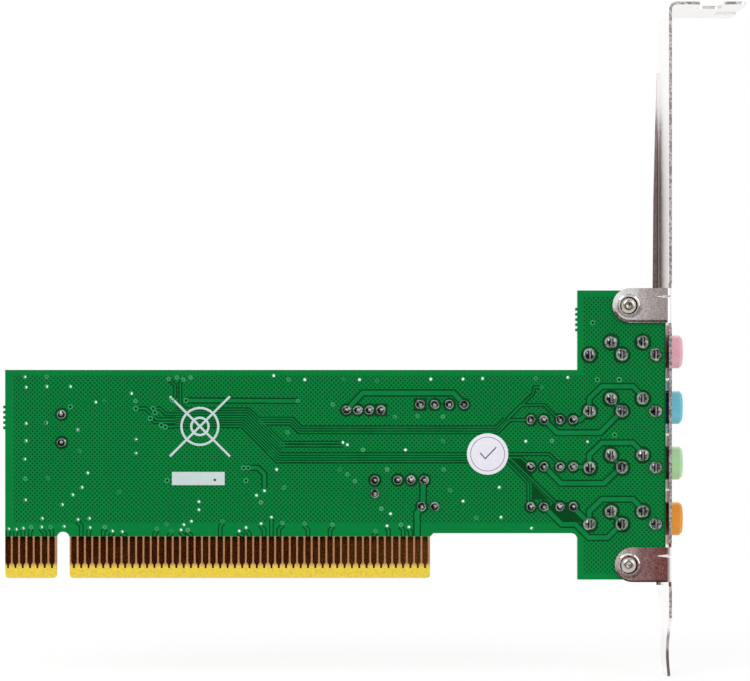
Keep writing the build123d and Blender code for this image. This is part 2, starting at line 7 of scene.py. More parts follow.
import logging
from dataclasses import dataclass, field
from enum import Enum
from math import pi, radians, sqrt
from typing import Callable, Iterable, Sequence, Union

import bmesh
import bpy
import numpy as np
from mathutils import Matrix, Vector


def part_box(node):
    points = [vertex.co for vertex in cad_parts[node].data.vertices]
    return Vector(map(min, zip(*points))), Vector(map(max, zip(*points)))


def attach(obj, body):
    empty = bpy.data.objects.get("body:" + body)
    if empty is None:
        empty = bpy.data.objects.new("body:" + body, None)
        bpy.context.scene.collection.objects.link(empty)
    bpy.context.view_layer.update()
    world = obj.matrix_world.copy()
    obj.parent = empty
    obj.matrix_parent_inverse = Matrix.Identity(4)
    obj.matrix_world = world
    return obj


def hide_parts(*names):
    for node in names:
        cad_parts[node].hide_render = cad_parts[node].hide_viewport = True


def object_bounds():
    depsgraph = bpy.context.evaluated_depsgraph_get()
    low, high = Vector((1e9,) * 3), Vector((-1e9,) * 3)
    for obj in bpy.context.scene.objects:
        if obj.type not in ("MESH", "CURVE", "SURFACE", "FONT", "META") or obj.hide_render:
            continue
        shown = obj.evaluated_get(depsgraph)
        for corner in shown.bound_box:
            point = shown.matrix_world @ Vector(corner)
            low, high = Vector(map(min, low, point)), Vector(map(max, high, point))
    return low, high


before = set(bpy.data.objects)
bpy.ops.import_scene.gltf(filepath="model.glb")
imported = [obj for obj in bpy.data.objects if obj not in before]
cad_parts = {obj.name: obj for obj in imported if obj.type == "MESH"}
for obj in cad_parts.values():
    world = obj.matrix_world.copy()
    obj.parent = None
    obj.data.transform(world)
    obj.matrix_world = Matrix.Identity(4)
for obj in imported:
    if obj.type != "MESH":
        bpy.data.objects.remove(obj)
CAD_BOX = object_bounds()

LOG = logging.getLogger("sound_card")
MM = 0.001
BODY = "root"
# Points nearer than this are one point.
WELD = 1e-4
# Layers of one kind differ by a step in height, so that no two lie exactly on each other.
LAYER_STEP = 0.0009
LAYER_COUNT = 12
# The board's left edge is free of break-off nubs below this height.
NUB_LEVEL = 10.0
MASK_SPECULAR = 0.1
FLAT_ANGLE = radians(0.5)
EASED_ANGLE = radians(32)
SHARP_ANGLE = radians(35)
FLAT_WEIGHT = 100
WHITE = (1.0, 1.0, 1.0, 1.0)
SMOOTH = {"interpolation_type": "SMOOTHSTEP"}
# Finer layers of a noise.
PLAIN_DETAIL = 2.0
FINE_DETAIL = 3.0
FINEST_DETAIL = 4.0
# The colour sockets of a Mix node.
MIX_FIRST, MIX_SECOND, MIX_RESULT = 6, 7, 2
# The kinds of ray that show the background itself.
RAYS = ("Camera", "Glossy", "Transmission")

Spot = tuple[float, float]
Span = tuple[float, float]
Triple = tuple[float, float, float]
Colour = tuple[float, float, float, float]


def srgb(red: int, green: int, blue: int) -> Colour:
    """Linear colour of a display colour.

    Args:
        red: Red level from 0 to 255.
        green: Green level from 0 to 255.
        blue: Blue level from 0 to 255.

    Returns:
        Linear red, green and blue, and full opacity.
    """
    level = np.array((red, green, blue)) / 255
    linear = np.where(level <= 0.04045, level / 12.92, ((level + 0.055) / 1.055) ** 2.4)
    return (*linear.tolist(), 1.0)


def squared(span: Span) -> Span:
    """The squares of two limits."""
    return span[0] ** 2, span[1] ** 2


class Side(Enum):
    """A face of the board, with the sign of its outward direction along Y."""

    SOLDER = -1
    PARTS = 1


class Value:
    """A number at a shader socket, which Python sums extend with Math nodes."""

    def __init__(self, wiring: "Wiring", socket: bpy.types.NodeSocket) -> None:
        """Holds the socket and the wiring that new nodes join."""
        self.wiring = wiring
        self.socket = socket

    def _math(self, operation: str, first: "Operand", second: "Operand" = 0.0) -> "Value":
        """The result of one Math node."""
        made = self.wiring.node("ShaderNodeMath", {"operation": operation}, {0: first, 1: second})
        return Value(self.wiring, made.outputs[0])

    def __add__(self, other: "Operand") -> "Value":
        """This value plus another."""
        return self._math("ADD", self, other)

    __radd__ = __add__

    def __sub__(self, other: "Operand") -> "Value":
        """This value less another."""
        return self._math("SUBTRACT", self, other)

    def __rsub__(self, other: "Operand") -> "Value":
        """Another value less this one."""
        return self._math("SUBTRACT", other, self)

    def __mul__(self, other: "Operand") -> "Value":
        """This value times another."""
        return self._math("MULTIPLY", self, other)

    __rmul__ = __mul__

    def wave(self) -> "Value":
        """The cosine of this value."""
        return self._math("COSINE", self)

    def size(self) -> "Value":
        """This value without its sign."""
        return self._math("ABSOLUTE", self)

    def at_least(self, other: "Operand") -> "Value":
        """The larger of two values."""
        return self._math("MAXIMUM", self, other)

    def step(self, low: float, high: float) -> "Value":
        """A smooth rise from 0 at low to 1 at high."""
        made = self.wiring.node("ShaderNodeMapRange", SMOOTH, {0: self, 1: low, 2: high})
        return Value(self.wiring, made.outputs[0])

    def between(self, low: float, high: float, soft: float) -> "Value":
        """1 between two limits and 0 outside, with a soft change at each."""
        return self.step(low - soft, low + soft) * (1 - self.step(high - soft, high + soft))


Operand = Union[Value, float]


class Wiring:
    """A node tree and the one way in which its nodes are made and joined."""

    def __init__(self, tree: bpy.types.NodeTree) -> None:
        """Empties the tree."""
        self.tree = tree
        tree.nodes.clear()

    def join(self, socket: bpy.types.NodeSocket, source: object) -> None:
        """Links a value or socket to an input, or sets a constant on it.

        Args:
            socket: The input.
            source: A value, a socket or a constant.
        """
        if isinstance(source, Value):
            source = source.socket
        if isinstance(source, bpy.types.NodeSocket):
            self.tree.links.new(source, socket)
        else:
            socket.default_value = source

    def node(self, kind: str, settings: dict | None = None, inputs: dict | None = None) -> bpy.types.Node:
        """Makes a node.

        Args:
            kind: Blender's name of the node's type.
            settings: The node's own settings, set first.
            inputs: A constant, value or socket for each named or numbered input.

        Returns:
            The node.
        """
        made = self.tree.nodes.new(kind)
        for name, setting in (settings or {}).items():
            setattr(made, name, setting)
        for key, source in (inputs or {}).items():
            self.join(made.inputs[key], source)
        return made


class Paint(Wiring):
    """The shader of one finish, with places read in millimetres of the card's frame."""

    def __init__(self, name: str) -> None:
        """Makes the material with its skin shader and its coordinates.

        Args:
            name: The material's name.
        """
        self.material = bpy.data.materials.new(name)
        self.material.use_nodes = True
        super().__init__(self.material.node_tree)
        self.skin = self.node("ShaderNodeBsdfPrincipled")
        self.node("ShaderNodeOutputMaterial", inputs={"Surface": self.skin.outputs["BSDF"]})
        place = self.node("ShaderNodeTexCoord").outputs["Object"]
        scale = {"Vector": place, "Scale": 1 / MM}
        self.place = self.node("ShaderNodeVectorMath", {"operation": "SCALE"}, scale).outputs["Vector"]

    def lay(self, inputs: dict) -> None:
        """Sets or links the skin shader's inputs."""
        for name, source in inputs.items():
            self.join(self.skin.inputs[name], source)

    def laid(self, name: str) -> bpy.types.NodeSocket:
        """The socket that already feeds one of the skin shader's inputs."""
        return self.skin.inputs[name].links[0].from_socket

    def axes(self) -> tuple[Value, Value, Value]:
        """The place along X, Y and Z in millimetres."""
        split = self.node("ShaderNodeSeparateXYZ", inputs={"Vector": self.place})
        return tuple(Value(self, socket) for socket in split.outputs)

    def noise(
            self, per_mm: float, detail: float = PLAIN_DETAIL, stretch: Sequence[float] = (1, 1, 1)) -> Value:
        """A cloudy value about one half.

        Args:
            per_mm: Features in a millimetre.
            detail: Finer layers added.
            stretch: Features along each axis, as shares of per_mm.

        Returns:
            The noise from 0 to 1.
        """
        factors = {0: self.place, 1: tuple(stretch)}
        place = self.node("ShaderNodeVectorMath", {"operation": "MULTIPLY"}, factors).outputs["Vector"]
        made = self.node("ShaderNodeTexNoise", inputs={"Vector": place, "Scale": per_mm, "Detail": detail})
        return Value(self, made.outputs[0])

    def attribute(self, name: str) -> Value:
        """A value stored at the points of the mesh."""
        return Value(self, self.node("ShaderNodeAttribute", {"attribute_name": name}).outputs["Fac"])

    def mix(self, first: object, second: object, share: Operand) -> bpy.types.NodeSocket:
        """The first colour at share 0 and the second at share 1."""
        inputs = {0: share, MIX_FIRST: first, MIX_SECOND: second}
        return self.node("ShaderNodeMix", {"data_type": "RGBA"}, inputs).outputs[MIX_RESULT]

    def bump(self, height: Value, rise_mm: float) -> bpy.types.NodeSocket:
        """A normal tilted by a height from 0 to 1 that stands for a rise in millimetres."""
        inputs = {"Strength": 1.0, "Distance": rise_mm * MM, "Height": height}
        return self.node("ShaderNodeBump", inputs=inputs).outputs["Normal"]


@dataclass(frozen=True)
class Finish:
    """A named finish whose material is made once."""

    name: str

    def material(self) -> bpy.types.Material:
        """Makes the material at its first use and finds it after that.

        Returns:
            The finish's material.
        """
        label = f"{self.name}_finish"
        found = bpy.data.materials.get(label)
        if found is None:
            paint = Paint(label)
            self.dress(paint)
            found = paint.material
        return found

    def dress(self, paint: Paint) -> None:
        """Builds the shader of the finish."""
        raise NotImplementedError


@dataclass(frozen=True)
class Metal(Finish):
    """A bare or plated metal with grain, tarnish and uneven gloss."""

    colour: Colour
    tarnish: Colour
    roughness: float
    uneven: float = 0.1
    grain_per_mm: float = 6.0
    grain_stretch: Triple = (1.0, 1.0, 1.0)
    grain_rise: float = 0.002
    stain_per_mm: float = 0.35
    stain_span: Span = (0.45, 0.75)
    stain_share: float = 0.7

    def dress(self, paint: Paint) -> None:
        """Mixes metal and tarnish by a broad cloud, and roughens by a fine grain.

        Args:
            paint: The shader in the making.
        """
        grain = paint.noise(self.grain_per_mm, FINE_DETAIL, self.grain_stretch)
        stain = paint.noise(self.stain_per_mm, FINEST_DETAIL).step(*self.stain_span)
        worn = stain * self.stain_share + grain * (1 - self.stain_share)
        paint.lay({
            "Base Color": paint.mix(self.colour, self.tarnish, worn),
            "Metallic": 1.0,
            "Roughness": self.roughness + (grain - 0.5) * self.uneven + stain * (self.uneven / 2),
            "Normal": paint.bump(grain, self.grain_rise)})


@dataclass(frozen=True)
class SheetSteel(Metal):
    """Plated sheet folded into the bracket, toned zone by zone.

    The near cut edge has torn patches, and the tongue's own runs dark round its corner. The upright face is
    satin, with painted shade on a stretch of it and a painted highlight above and below. The flange has a
    painted highlight, and its top and the outer side are greyer, as painted shade. The lip dulls towards its
    top, where it has a painted highlight, and has painted shade along its fold. Tabs and lip are mottled.
    Each tab has a painted highlight on its upper round end and painted shade on its lower rim and round its
    screw.
    A span holds the limits of a zone or of a soft change.
    """

    torn: Colour = srgb(112, 102, 100)
    edge_per_mm: float = 2.1
    edge_patch: Span = (0.42, 0.6)
    edge_cover: float = 0.68
    edge_roughness: float = 0.3
    edge_y: Span = (-1.29, -1.25)
    edge_x: Span = (78.48, 78.52)
    soft: float = 0.05
    face_y: Span = (-0.5, -0.2)
    face_x: Span = (78.43, 79.1)
    face_cover: float = 0.85
    face_roughness: float = 0.1
    # Painted shade on a stretch of the upright face, and a painted highlight on the rest of it, on the lip's
    # top, on the flange and on each tab's upper round end.
    face_shade: Colour = srgb(206, 200, 197)
    face_highlight: Colour = srgb(253, 252, 251)
    shade_low: Span = (40.0, 52.0)
    shade_high: Span = (66.0, 88.0)
    outer_x: Span = (79.0, 79.15)
    outer_soft: float = 0.03
    # Painted shade: the outer side is greyer.
    outer_shade: Colour = srgb(214, 209, 206)
    outer_cover: float = 0.9
    flange_x: Span = (79.1, 79.2)
    flange_roughness: float = 0.2
    # Share of the painted highlight on the lip's top and on the flange.
    pale_cover: float = 0.8
    top_z: Span = (100.02, 100.07)
    # Painted shade: the flange's top is greyer.
    top_shade: Colour = srgb(186, 181, 178)
    top_roughness: float = 0.36
    lip_y: Span = (15.5, 15.8)
    lip_dull: Span = (75.0, 86.0)
    lip_roughness: float = 0.5
    # Painted shade along the inside of the lip's fold.
    fold_shade: Colour = srgb(128, 118, 115)
    fold_cover: float = 0.85
    fold_x: Span = (78.15, 78.56)
    fold_y: Span = (16.2, 16.7)
    fold_end: Span = (70.0, 84.0)
    tongue_y: float = 1.7
    tongue_z: Span = (-17.5, -9.6)
    tongue_corner: float = 2.0
    tongue_rim: Span = (1.86, 1.96)
    tongue_start: Span = (-10.2, -9.6)
    tongue_wear: Span = (-13.2, -12.0)
    tongue_worn: float = 0.45
    tongue_bow: Triple = (0.325, -0.075, -0.25)
    tongue_outer: Span = (78.9, 79.0)
    tongue_zone: Span = (-9.6, -9.4)
    mottle_per_mm: float = 3.0
    mottle_span: Span = (0.42, 0.68)
    mottle: float = 0.34
    tabs: tuple[Spot, ...] = ((72.2, 2.4), (71.8, 47.6))
    tab_y: Span = (-0.8, -0.7)
    tab_x: Span = (78.0, 78.3)
    tab_rim: Span = (2.6, 2.84)
    tab_side: Span = (3.1, 3.2)
    tab_end: Span = (3.0, 3.2)
    tab_crease: Span = (72.7, 73.5)
    pale_fade: Span = (-0.8, 1.6)
    rim_fade: Span = (0.4, 1.6)
    # Painted shade on each tab's lower rim and round its screw, in patches.
    rim_shade: Colour = srgb(72, 44, 42)
    shade_patch: Span = (0.5, 0.7)
    screw_x: float = 71.6
    screw_rim: Span = (1.75, 2.4)
    screw_soft: float = 0.5
    screw_fade: Span = (-0.6, 1.2)
    screw_shade: float = 0.55

    def tongue_edge(self, y: Value, z: Value) -> Value:
        """The tongue's near cut edge, which turns through a quarter circle at the tip.

        Args:
            y: The place along Y.
            z: The place along Z.

        Returns:
            1 on the edge and 0 elsewhere, with less on its worn upper stretch.
        """
        near = (self.tongue_y + self.tongue_corner - y).at_least(0.0)
        under = (self.tongue_z[0] + self.tongue_corner - z).at_least(0.0)
        rim = (near * near + under * under).step(*squared(self.tongue_rim))
        return rim * (1 - z.step(*self.tongue_start)) * (1 - z.step(*self.tongue_wear) * self.tongue_worn)

    def outer_side(self, x: Value, z: Value) -> Value:
        """The side away from the board, on the flat face and on the bowed tongue.

        The tongue's offset is a square of its height from end to end, plus a slope and a constant.

        Args:
            x: The place along X.
            z: The place along Z.

        Returns:
            1 on that side and 0 elsewhere.
        """
        low, high = self.tongue_z
        curve, slope, offset = self.tongue_bow
        along = (z - (low + high) / 2) * (2 / (high - low))
        bowed = x - (along * along * curve + along * slope + offset)
        tongue = bowed.step(*self.tongue_outer) * (1 - z.step(*self.tongue_zone))
        return x.between(*self.outer_x, self.outer_soft).at_least(tongue)

    def mark_tab(
            self, paint: Paint, base: object, tab: Value, cloud: Value, end: Spot) -> bpy.types.NodeSocket:
        """Adds the painted highlight on the round end, and the painted shade on the lower rim and round the
        screw, of one tab.

        Args:
            paint: The shader in the making.
            base: The colour below.
            tab: 1 on the tabs.
            cloud: The mottling noise.
            end: The middle of the tab's round end.

        Returns:
            The marked colour.
        """
        x, _, z = paint.axes()
        along, drop = (end[0] - x).at_least(0.0), end[1] - z
        # Painted shade along the lower rim of the round end.
        rim = (along * along + drop * drop).step(*squared(self.tab_rim))
        rim = rim * drop.step(*self.rim_fade) * (1 - drop.step(*self.tab_side))
        # Painted highlight on the upper round end, left of the crease.
        pale = tab * (1 - x.step(*self.tab_crease)) * (1 - drop.size().step(*self.tab_end))
        marked = paint.mix(base, self.face_highlight, pale * (1 - drop.step(*self.pale_fade)) * self.face_cover)
        # Painted shade round the screw in its lower half, joined to the rim's and broken up by the mottling.
        out = x - self.screw_x
        ring = (out * out + drop * drop).between(*squared(self.screw_rim), self.screw_soft)
        stain = rim.at_least(ring * drop.step(*self.screw_fade) * self.screw_shade)
        least, more = self.shade_patch
        return paint.mix(marked, self.rim_shade, stain * tab * (least + cloud * more))

    def dress(self, paint: Paint) -> None:
        """Lays the zones of the sheet over the plain metal.

        Args:
            paint: The shader in the making.
        """
        super().dress(paint)
        x, y, z = paint.axes()
        smooth = Value(paint, paint.laid("Roughness"))
        edge = (1 - y.step(*self.edge_y)) * x.step(*self.edge_x)
        patch = paint.noise(self.edge_per_mm, FINE_DETAIL).step(*self.edge_patch) * edge
        inside = y.step(*self.face_y)
        face = inside * x.between(*self.face_x, self.soft)
        flange = inside * x.step(*self.flange_x)
        lip = y.step(*self.lip_y) * (1 - face) * (1 - flange)
        dull = lip * z.step(*self.lip_dull)
        fold = x.between(*self.fold_x, self.soft) * y.between(*self.fold_y, self.soft)
        fold = fold * (1 - z.step(*self.fold_end))
        top = z.step(*self.top_z)
        # Painted shade on a stretch of the upright face, with a painted highlight above and below it.
        shaded = z.step(*self.shade_low) * (1 - z.step(*self.shade_high))
        tone = paint.mix(self.face_highlight, self.face_shade, shaded)
        toned = paint.mix(paint.laid("Base Color"), tone, face * self.face_cover)
        # Painted highlight on the lip's top and on the flange.
        toned = paint.mix(toned, self.face_highlight, dull.at_least(flange) * self.pale_cover)
        # Painted shade on the outer side, then on the flange's top and along the fold.
        toned = paint.mix(toned, self.outer_shade, inside * self.outer_side(x, z) * self.outer_cover)
        toned = paint.mix(paint.mix(toned, self.top_shade, top), self.fold_shade, fold * self.fold_cover)
        tab = (1 - y.step(*self.tab_y)) * (1 - x.step(*self.tab_x))
        cloud = paint.noise(self.mottle_per_mm)
        mottled = tab.at_least(lip * (1 - dull)) * cloud.step(*self.mottle_span) * self.mottle
        toned = paint.mix(toned, self.torn, mottled)
        for end in self.tabs:
            toned = self.mark_tab(paint, toned, tab, cloud, end)
        cut = (patch * self.edge_cover).at_least(self.tongue_edge(y, z))
        sheen = smooth + edge * self.edge_roughness + face * self.face_roughness
        sheen = sheen + top * self.top_roughness + flange * self.flange_roughness
        paint.lay({
            "Base Color": paint.mix(toned, self.torn, cut),
            "Roughness": sheen + dull * self.lip_roughness})


@dataclass(frozen=True)
class Solder(Metal):
    """Solder under a dark layer, partly flux film and partly painted shade, where its mesh's attribute says
    so.
    """

    # A dark layer, partly flux film and partly painted shade.
    flux_and_shade: Colour = srgb(16, 23, 20)
    flux_and_shade_per_mm: float = 2.2
    flux_and_shade_patch: Span = (0.3, 1.2)
    flux_and_shade_span: Span = (0.08, 0.9)
    attribute: str = "flux_and_shade"

    def dress(self, paint: Paint) -> None:
        """Adds the dark layer of flux film and painted shade, broken up by a noise, over the metal.

        Args:
            paint: The shader in the making.
        """
        super().dress(paint)
        least, more = self.flux_and_shade_patch
        patch = least + paint.noise(self.flux_and_shade_per_mm) * more
        share = (paint.attribute(self.attribute) * patch).step(*self.flux_and_shade_span)
        paint.lay({"Base Color": paint.mix(paint.laid("Base Color"), self.flux_and_shade, share)})


@dataclass(frozen=True)
class Moulding(Finish):
    """A moulded plastic or coated surface with a fine texture and slight cloudiness."""

    colour: Colour
    shade: Colour
    roughness: float
    texture_per_mm: float = 8.0
    texture_rise: float = 0.004
    coat: float = 0.0
    cloud_per_mm: float = 0.4
    cloud_span: Span = (0.3, 0.7)
    cloud_share: float = 0.6
    uneven: float = 0.15

    def dress(self, paint: Paint) -> None:
        """Mixes two shades of the moulding by a cloud, with a grainy gloss.

        Args:
            paint: The shader in the making.
        """
        grain = paint.noise(self.texture_per_mm)
        cloud = paint.noise(self.cloud_per_mm, FINE_DETAIL).step(*self.cloud_span)
        shaded = cloud * self.cloud_share + grain * (1 - self.cloud_share)
        paint.lay({
            "Base Color": paint.mix(self.colour, self.shade, shaded),
            "Roughness": self.roughness + (grain - 0.5) * self.uneven,
            "Coat Weight": self.coat,
            "Normal": paint.bump(grain, self.texture_rise)})


@dataclass(frozen=True)
class SocketMoulding(Moulding):
    """The moulding of a socket, with painted shade on its collar's root between body and bracket."""

    root_x: Span = (77.68, 78.5)
    root_soft: float = 0.03
    # Painted shade on the collar's root between body and bracket.
    root_shade: Colour = srgb(26, 18, 16)
    root_shade_cover: float = 0.75

    def dress(self, paint: Paint) -> None:
        """Darkens the collar's root with painted shade.

        Args:
            paint: The shader in the making.
        """
        super().dress(paint)
        root = paint.axes()[0].between(*self.root_x, self.root_soft)
        paint.lay({"Base Color": paint.mix(paint.laid("Base Color"), self.root_shade, root * self.root_shade_cover)})


@dataclass(frozen=True)
class ContactGold(Metal):
    """Gold plating that the mask's edge stains at the top of each contact."""

    mask_stain: Colour = srgb(96, 92, 40)
    mask_stain_z: Span = (6.1, 7.2)
    mask_stain_patch: Span = (0.5, 0.6)
    mask_stain_per_mm: float = 1.2

    def dress(self, paint: Paint) -> None:
        """Adds the stain below the mask's edge.

        Args:
            paint: The shader in the making.
        """
        super().dress(paint)
        least, more = self.mask_stain_patch
        patch = least + paint.noise(self.mask_stain_per_mm) * more
        share = paint.axes()[2].step(*self.mask_stain_z) * patch
        paint.lay({"Base Color": paint.mix(paint.laid("Base Color"), self.mask_stain, share)})


@dataclass(frozen=True)
class BandedSleeve(Finish):
    """A shrink sleeve whose polarity band follows the attribute of its mesh."""

    colour: Colour
    band: Colour
    attribute: str = "band"
    band_span: Span = (0.45, 0.55)
    band_cover: float = 0.9
    wave_per_mm: float = 0.8
    wave_cover: float = 0.06
    wave_rise: float = 0.03
    roughness: float = 0.24
    uneven: float = 0.14

    def dress(self, paint: Paint) -> None:
        """Paints the band where the attribute is above one half, on a slightly wavy gloss.

        Args:
            paint: The shader in the making.
        """
        wave = paint.noise(self.wave_per_mm)
        share = paint.attribute(self.attribute).step(*self.band_span)
        paint.lay({
            "Base Color": paint.mix(self.colour, self.band, share * self.band_cover + wave * self.wave_cover),
            "Roughness": self.roughness + wave * self.uneven,
            "Normal": paint.bump(wave, self.wave_rise)})


@dataclass(frozen=True)
class TrackMask(Finish):
    """Solder mask over one kind of copper or laminate, without the hatch."""

    colour: Colour
    cloud: Colour
    roughness: float = 0.3
    uneven: float = 0.08
    cloud_per_mm: float = 0.25
    cloud_span: Span = (0.3, 0.7)
    peel_per_mm: float = 2.2
    peel_rise: float = 0.003

    def dress(self, paint: Paint) -> None:
        """Mixes two greens by a cloud, with a faint orange-peel gloss.

        Args:
            paint: The shader in the making.
        """
        peel = paint.noise(self.peel_per_mm)
        cloud = paint.noise(self.cloud_per_mm, FINE_DETAIL).step(*self.cloud_span)
        paint.lay({
            "Base Color": paint.mix(self.colour, self.cloud, cloud),
            "Roughness": self.roughness + peel * self.uneven,
            "Specular IOR Level": MASK_SPECULAR,
            "Normal": paint.bump(peel, self.peel_rise)})


@dataclass(frozen=True)
class BoardMask(Finish):
    """The board: mask over hatched copper, plain margins, bare connector laminate, bevel and cut edges.

    The hatch is the sum of two cosines that run along the diagonals, so its openings are a lattice of soft
    dots.
    """

    over_copper: Colour = srgb(0, 117, 55)
    over_gap: Colour = srgb(0, 56, 18)
    over_margin: Colour = srgb(0, 121, 54)
    laminate: Colour = srgb(160, 113, 80)
    laminate_fibre: Colour = srgb(176, 133, 96)
    bevel: Colour = srgb(229, 204, 66)
    bevel_fibre: Colour = srgb(214, 180, 74)
    bevel_foot: Colour = srgb(214, 198, 138)
    edge: Colour = srgb(122, 156, 92)
    hatch_pitch: float = 0.5645
    hatch_span: Span = (0.1, 1.4)
    hatch_cover: float = 0.9
    hatch_rise: float = 0.012
    soft: float = 0.06
    side_margin: float = 1.5
    top_margin: float = 1.0
    right_margin: float = 0.35
    rim: Span = (0.42, 0.22)
    rim_cover: float = 0.6
    skin_depth: Span = (0.04, 0.01)
    pour_bottom: float = 9.6
    mask_end: float = 7.3
    connector_end: float = 38.0
    bevel_z: Span = (1.7, 2.9)
    bevel_foot_height: float = 0.35
    bevel_per_mm: float = 2.6
    cloud_per_mm: float = 0.12
    cloud_span: Span = (0.25, 0.75)
    fibre_per_mm: float = 3.0
    fibre_stretch: Triple = (0.3, 1.0, 3.0)
    fibre_span: Span = (0.4, 0.7)
    roughness: float = 0.3
    hatch_roughness: float = 0.08
    bare_roughness: float = 0.15
    fibre_roughness: float = 0.06

    def dress(self, paint: Paint) -> None:
        """Lays the zones over each other, from the hatch to the cut edges.

        Args:
            paint: The shader in the making.
        """
        x, y, z = paint.axes()
        low, high = box_of("circuit_board")
        turn = 2 * pi / (self.hatch_pitch * sqrt(2))
        openings = (((x + z) * turn).wave() + ((x - z) * turn).wave()).step(*self.hatch_span)
        right = high[0] - self.right_margin
        body = x.between(BOARD.left + self.side_margin, right, self.soft)
        body = body * z.between(self.pour_bottom, BOARD.body_top - self.top_margin, self.soft)
        ear = x.between(BOARD.ear_left + self.top_margin, right, self.soft)
        ear = ear * z.between(low[2] + self.top_margin, high[2] - self.top_margin, self.soft)
        dots = openings * body.at_least(ear)
        cloud = paint.noise(self.cloud_per_mm, FINE_DETAIL).step(*self.cloud_span)
        fibre = paint.noise(self.fibre_per_mm, stretch=self.fibre_stretch)
        connector = 1 - z.step(self.mask_end - self.soft, self.mask_end + self.soft)
        connector = connector * (1 - x.step(self.connector_end - self.soft, self.connector_end + self.soft))
        bevel = connector * (1 - z.step(*self.bevel_z))
        skin = y.size().step(*(high[1] - depth for depth in self.skin_depth))
        rim = x.step(*(high[0] - inset for inset in self.rim))
        shade = (dots * self.hatch_cover).at_least(rim * self.rim_cover)
        mask = paint.mix(paint.mix(self.over_margin, self.over_copper, cloud), self.over_gap, shade)
        laminate = paint.mix(self.laminate, self.laminate_fibre, fibre.step(*self.fibre_span))
        surface = paint.mix(mask, laminate, connector)
        surface = paint.mix(paint.mix(self.edge, laminate, connector), surface, skin)
        rough = self.roughness + dots * self.hatch_roughness + connector * self.bare_roughness
        worn = paint.noise(self.bevel_per_mm, FINE_DETAIL).step(*self.fibre_span)
        cut = paint.mix(self.bevel, self.bevel_fibre, worn)
        cut = paint.mix(self.bevel_foot, cut, z.step(0, self.bevel_foot_height))
        paint.lay({
            "Base Color": paint.mix(surface, cut, bevel),
            "Roughness": rough + fibre * self.fibre_roughness,
            "Specular IOR Level": MASK_SPECULAR,
            "Normal": paint.bump(1 - dots, self.hatch_rise)})


MASK_BOARD = BoardMask("board_mask")
MASK_TRACK = TrackMask("track_mask", srgb(0, 116, 58), srgb(6, 122, 62))
MASK_GAP = TrackMask("gap_mask", srgb(0, 60, 22), srgb(0, 70, 28))
MASK_PLUG = TrackMask("via_plug_mask", srgb(4, 30, 12), srgb(6, 42, 18))
MASK_RING = TrackMask("via_ring_mask", srgb(56, 158, 102), srgb(42, 146, 90), 0.25)
MASK_TENT = TrackMask("tented_via_mask", srgb(74, 156, 106), srgb(8, 122, 62), 0.25)
GOLD = ContactGold(
    "contact_gold", srgb(236, 178, 92), srgb(214, 146, 66), 0.15,
    uneven=0.06, grain_per_mm=4.0, grain_stretch=(1, 1, 0.3), grain_rise=0.0005)
STEEL = SheetSteel(
    "bracket_steel", srgb(242, 238, 237), srgb(226, 217, 215), 0.08,
    uneven=0.06, grain_per_mm=1.1, grain_stretch=(1, 1, 0.8), grain_rise=0.0025)
SCREW = Metal("screw_steel", srgb(206, 201, 193), srgb(158, 150, 140), 0.24, uneven=0.12, grain_per_mm=8.0)
SOLDER = Solder(
    "bright_solder", srgb(192, 201, 196), srgb(104, 115, 110), 0.14,
    grain_per_mm=3.0, grain_rise=0.006, stain_per_mm=1.2)
TIN = Metal("tinned_metal", srgb(214, 214, 216), srgb(176, 176, 178), 0.26)
NICKEL = Metal(
    "crystal_metal", srgb(216, 214, 210), srgb(196, 192, 186), 0.3,
    uneven=0.12, grain_per_mm=5.0, grain_stretch=(1, 1, 0.2))
FOIL = Metal("can_aluminium", srgb(218, 219, 221), srgb(186, 188, 191), 0.3, uneven=0.12)
PINK = SocketMoulding("microphone_plastic", srgb(239, 182, 195), srgb(232, 168, 184), 0.42)
BLUE = SocketMoulding("line_in_plastic", srgb(117, 201, 219), srgb(99, 189, 211), 0.42)
GREEN = SocketMoulding("line_out_plastic", srgb(184, 225, 171), srgb(170, 215, 158), 0.42)
ORANGE = SocketMoulding("rear_out_plastic", srgb(236, 155, 33), srgb(228, 141, 24), 0.42)
SLEEVE = BandedSleeve("capacitor_sleeve", srgb(26, 27, 32), srgb(188, 190, 196))
EPOXY = Moulding("moulded_epoxy", srgb(34, 34, 36), srgb(44, 44, 46), 0.62, 10.0, 0.012)
NYLON = Moulding("header_nylon", srgb(232, 228, 214), srgb(222, 216, 198), 0.38, 6.0, 0.003, 0.1)
CERAMIC = Moulding("chip_ceramic", srgb(176, 146, 112), srgb(160, 130, 98), 0.5, 12.0, 0.003)
GLASS = Moulding("chip_glass_coat", srgb(28, 28, 30), srgb(38, 38, 40), 0.3, 10.0, 0.003, 0.3)
PAPER = Moulding("sticker_paper", srgb(224, 222, 231), srgb(218, 215, 226), 0.55, 7.0, 0.004)
INK = Moulding("sticker_ink", srgb(92, 92, 104), srgb(110, 110, 122), 0.6, 7.0, 0.002)
SILK = Moulding("silk_ink", srgb(194, 206, 207), srgb(185, 199, 199), 0.55, 6.0, 0.004)


def outline_of(node: str) -> tuple[np.ndarray, np.ndarray]:
    """The welded points and triangles of a CAD node.

    Args:
        node: The node's name.

    Returns:
        Points in millimetres, with near doubles merged, and triangles of their numbers.
    """
    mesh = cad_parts[node].data
    mesh.calc_loop_triangles()
    points = np.empty(len(mesh.vertices) * 3)
    mesh.vertices.foreach_get("co", points)
    corners = np.empty(len(mesh.loop_triangles) * 3, dtype=np.int64)
    mesh.loop_triangles.foreach_get("vertices", corners)
    cells = np.round(points.reshape(-1, 3) / MM / WELD).astype(np.int64)
    merged, number = np.unique(cells, axis=0, return_inverse=True)
    triangles = number.reshape(-1)[corners].reshape(-1, 3)
    ends = triangles[:, [1, 2, 0]]
    return merged * WELD, triangles[(triangles != ends).all(axis=1)]


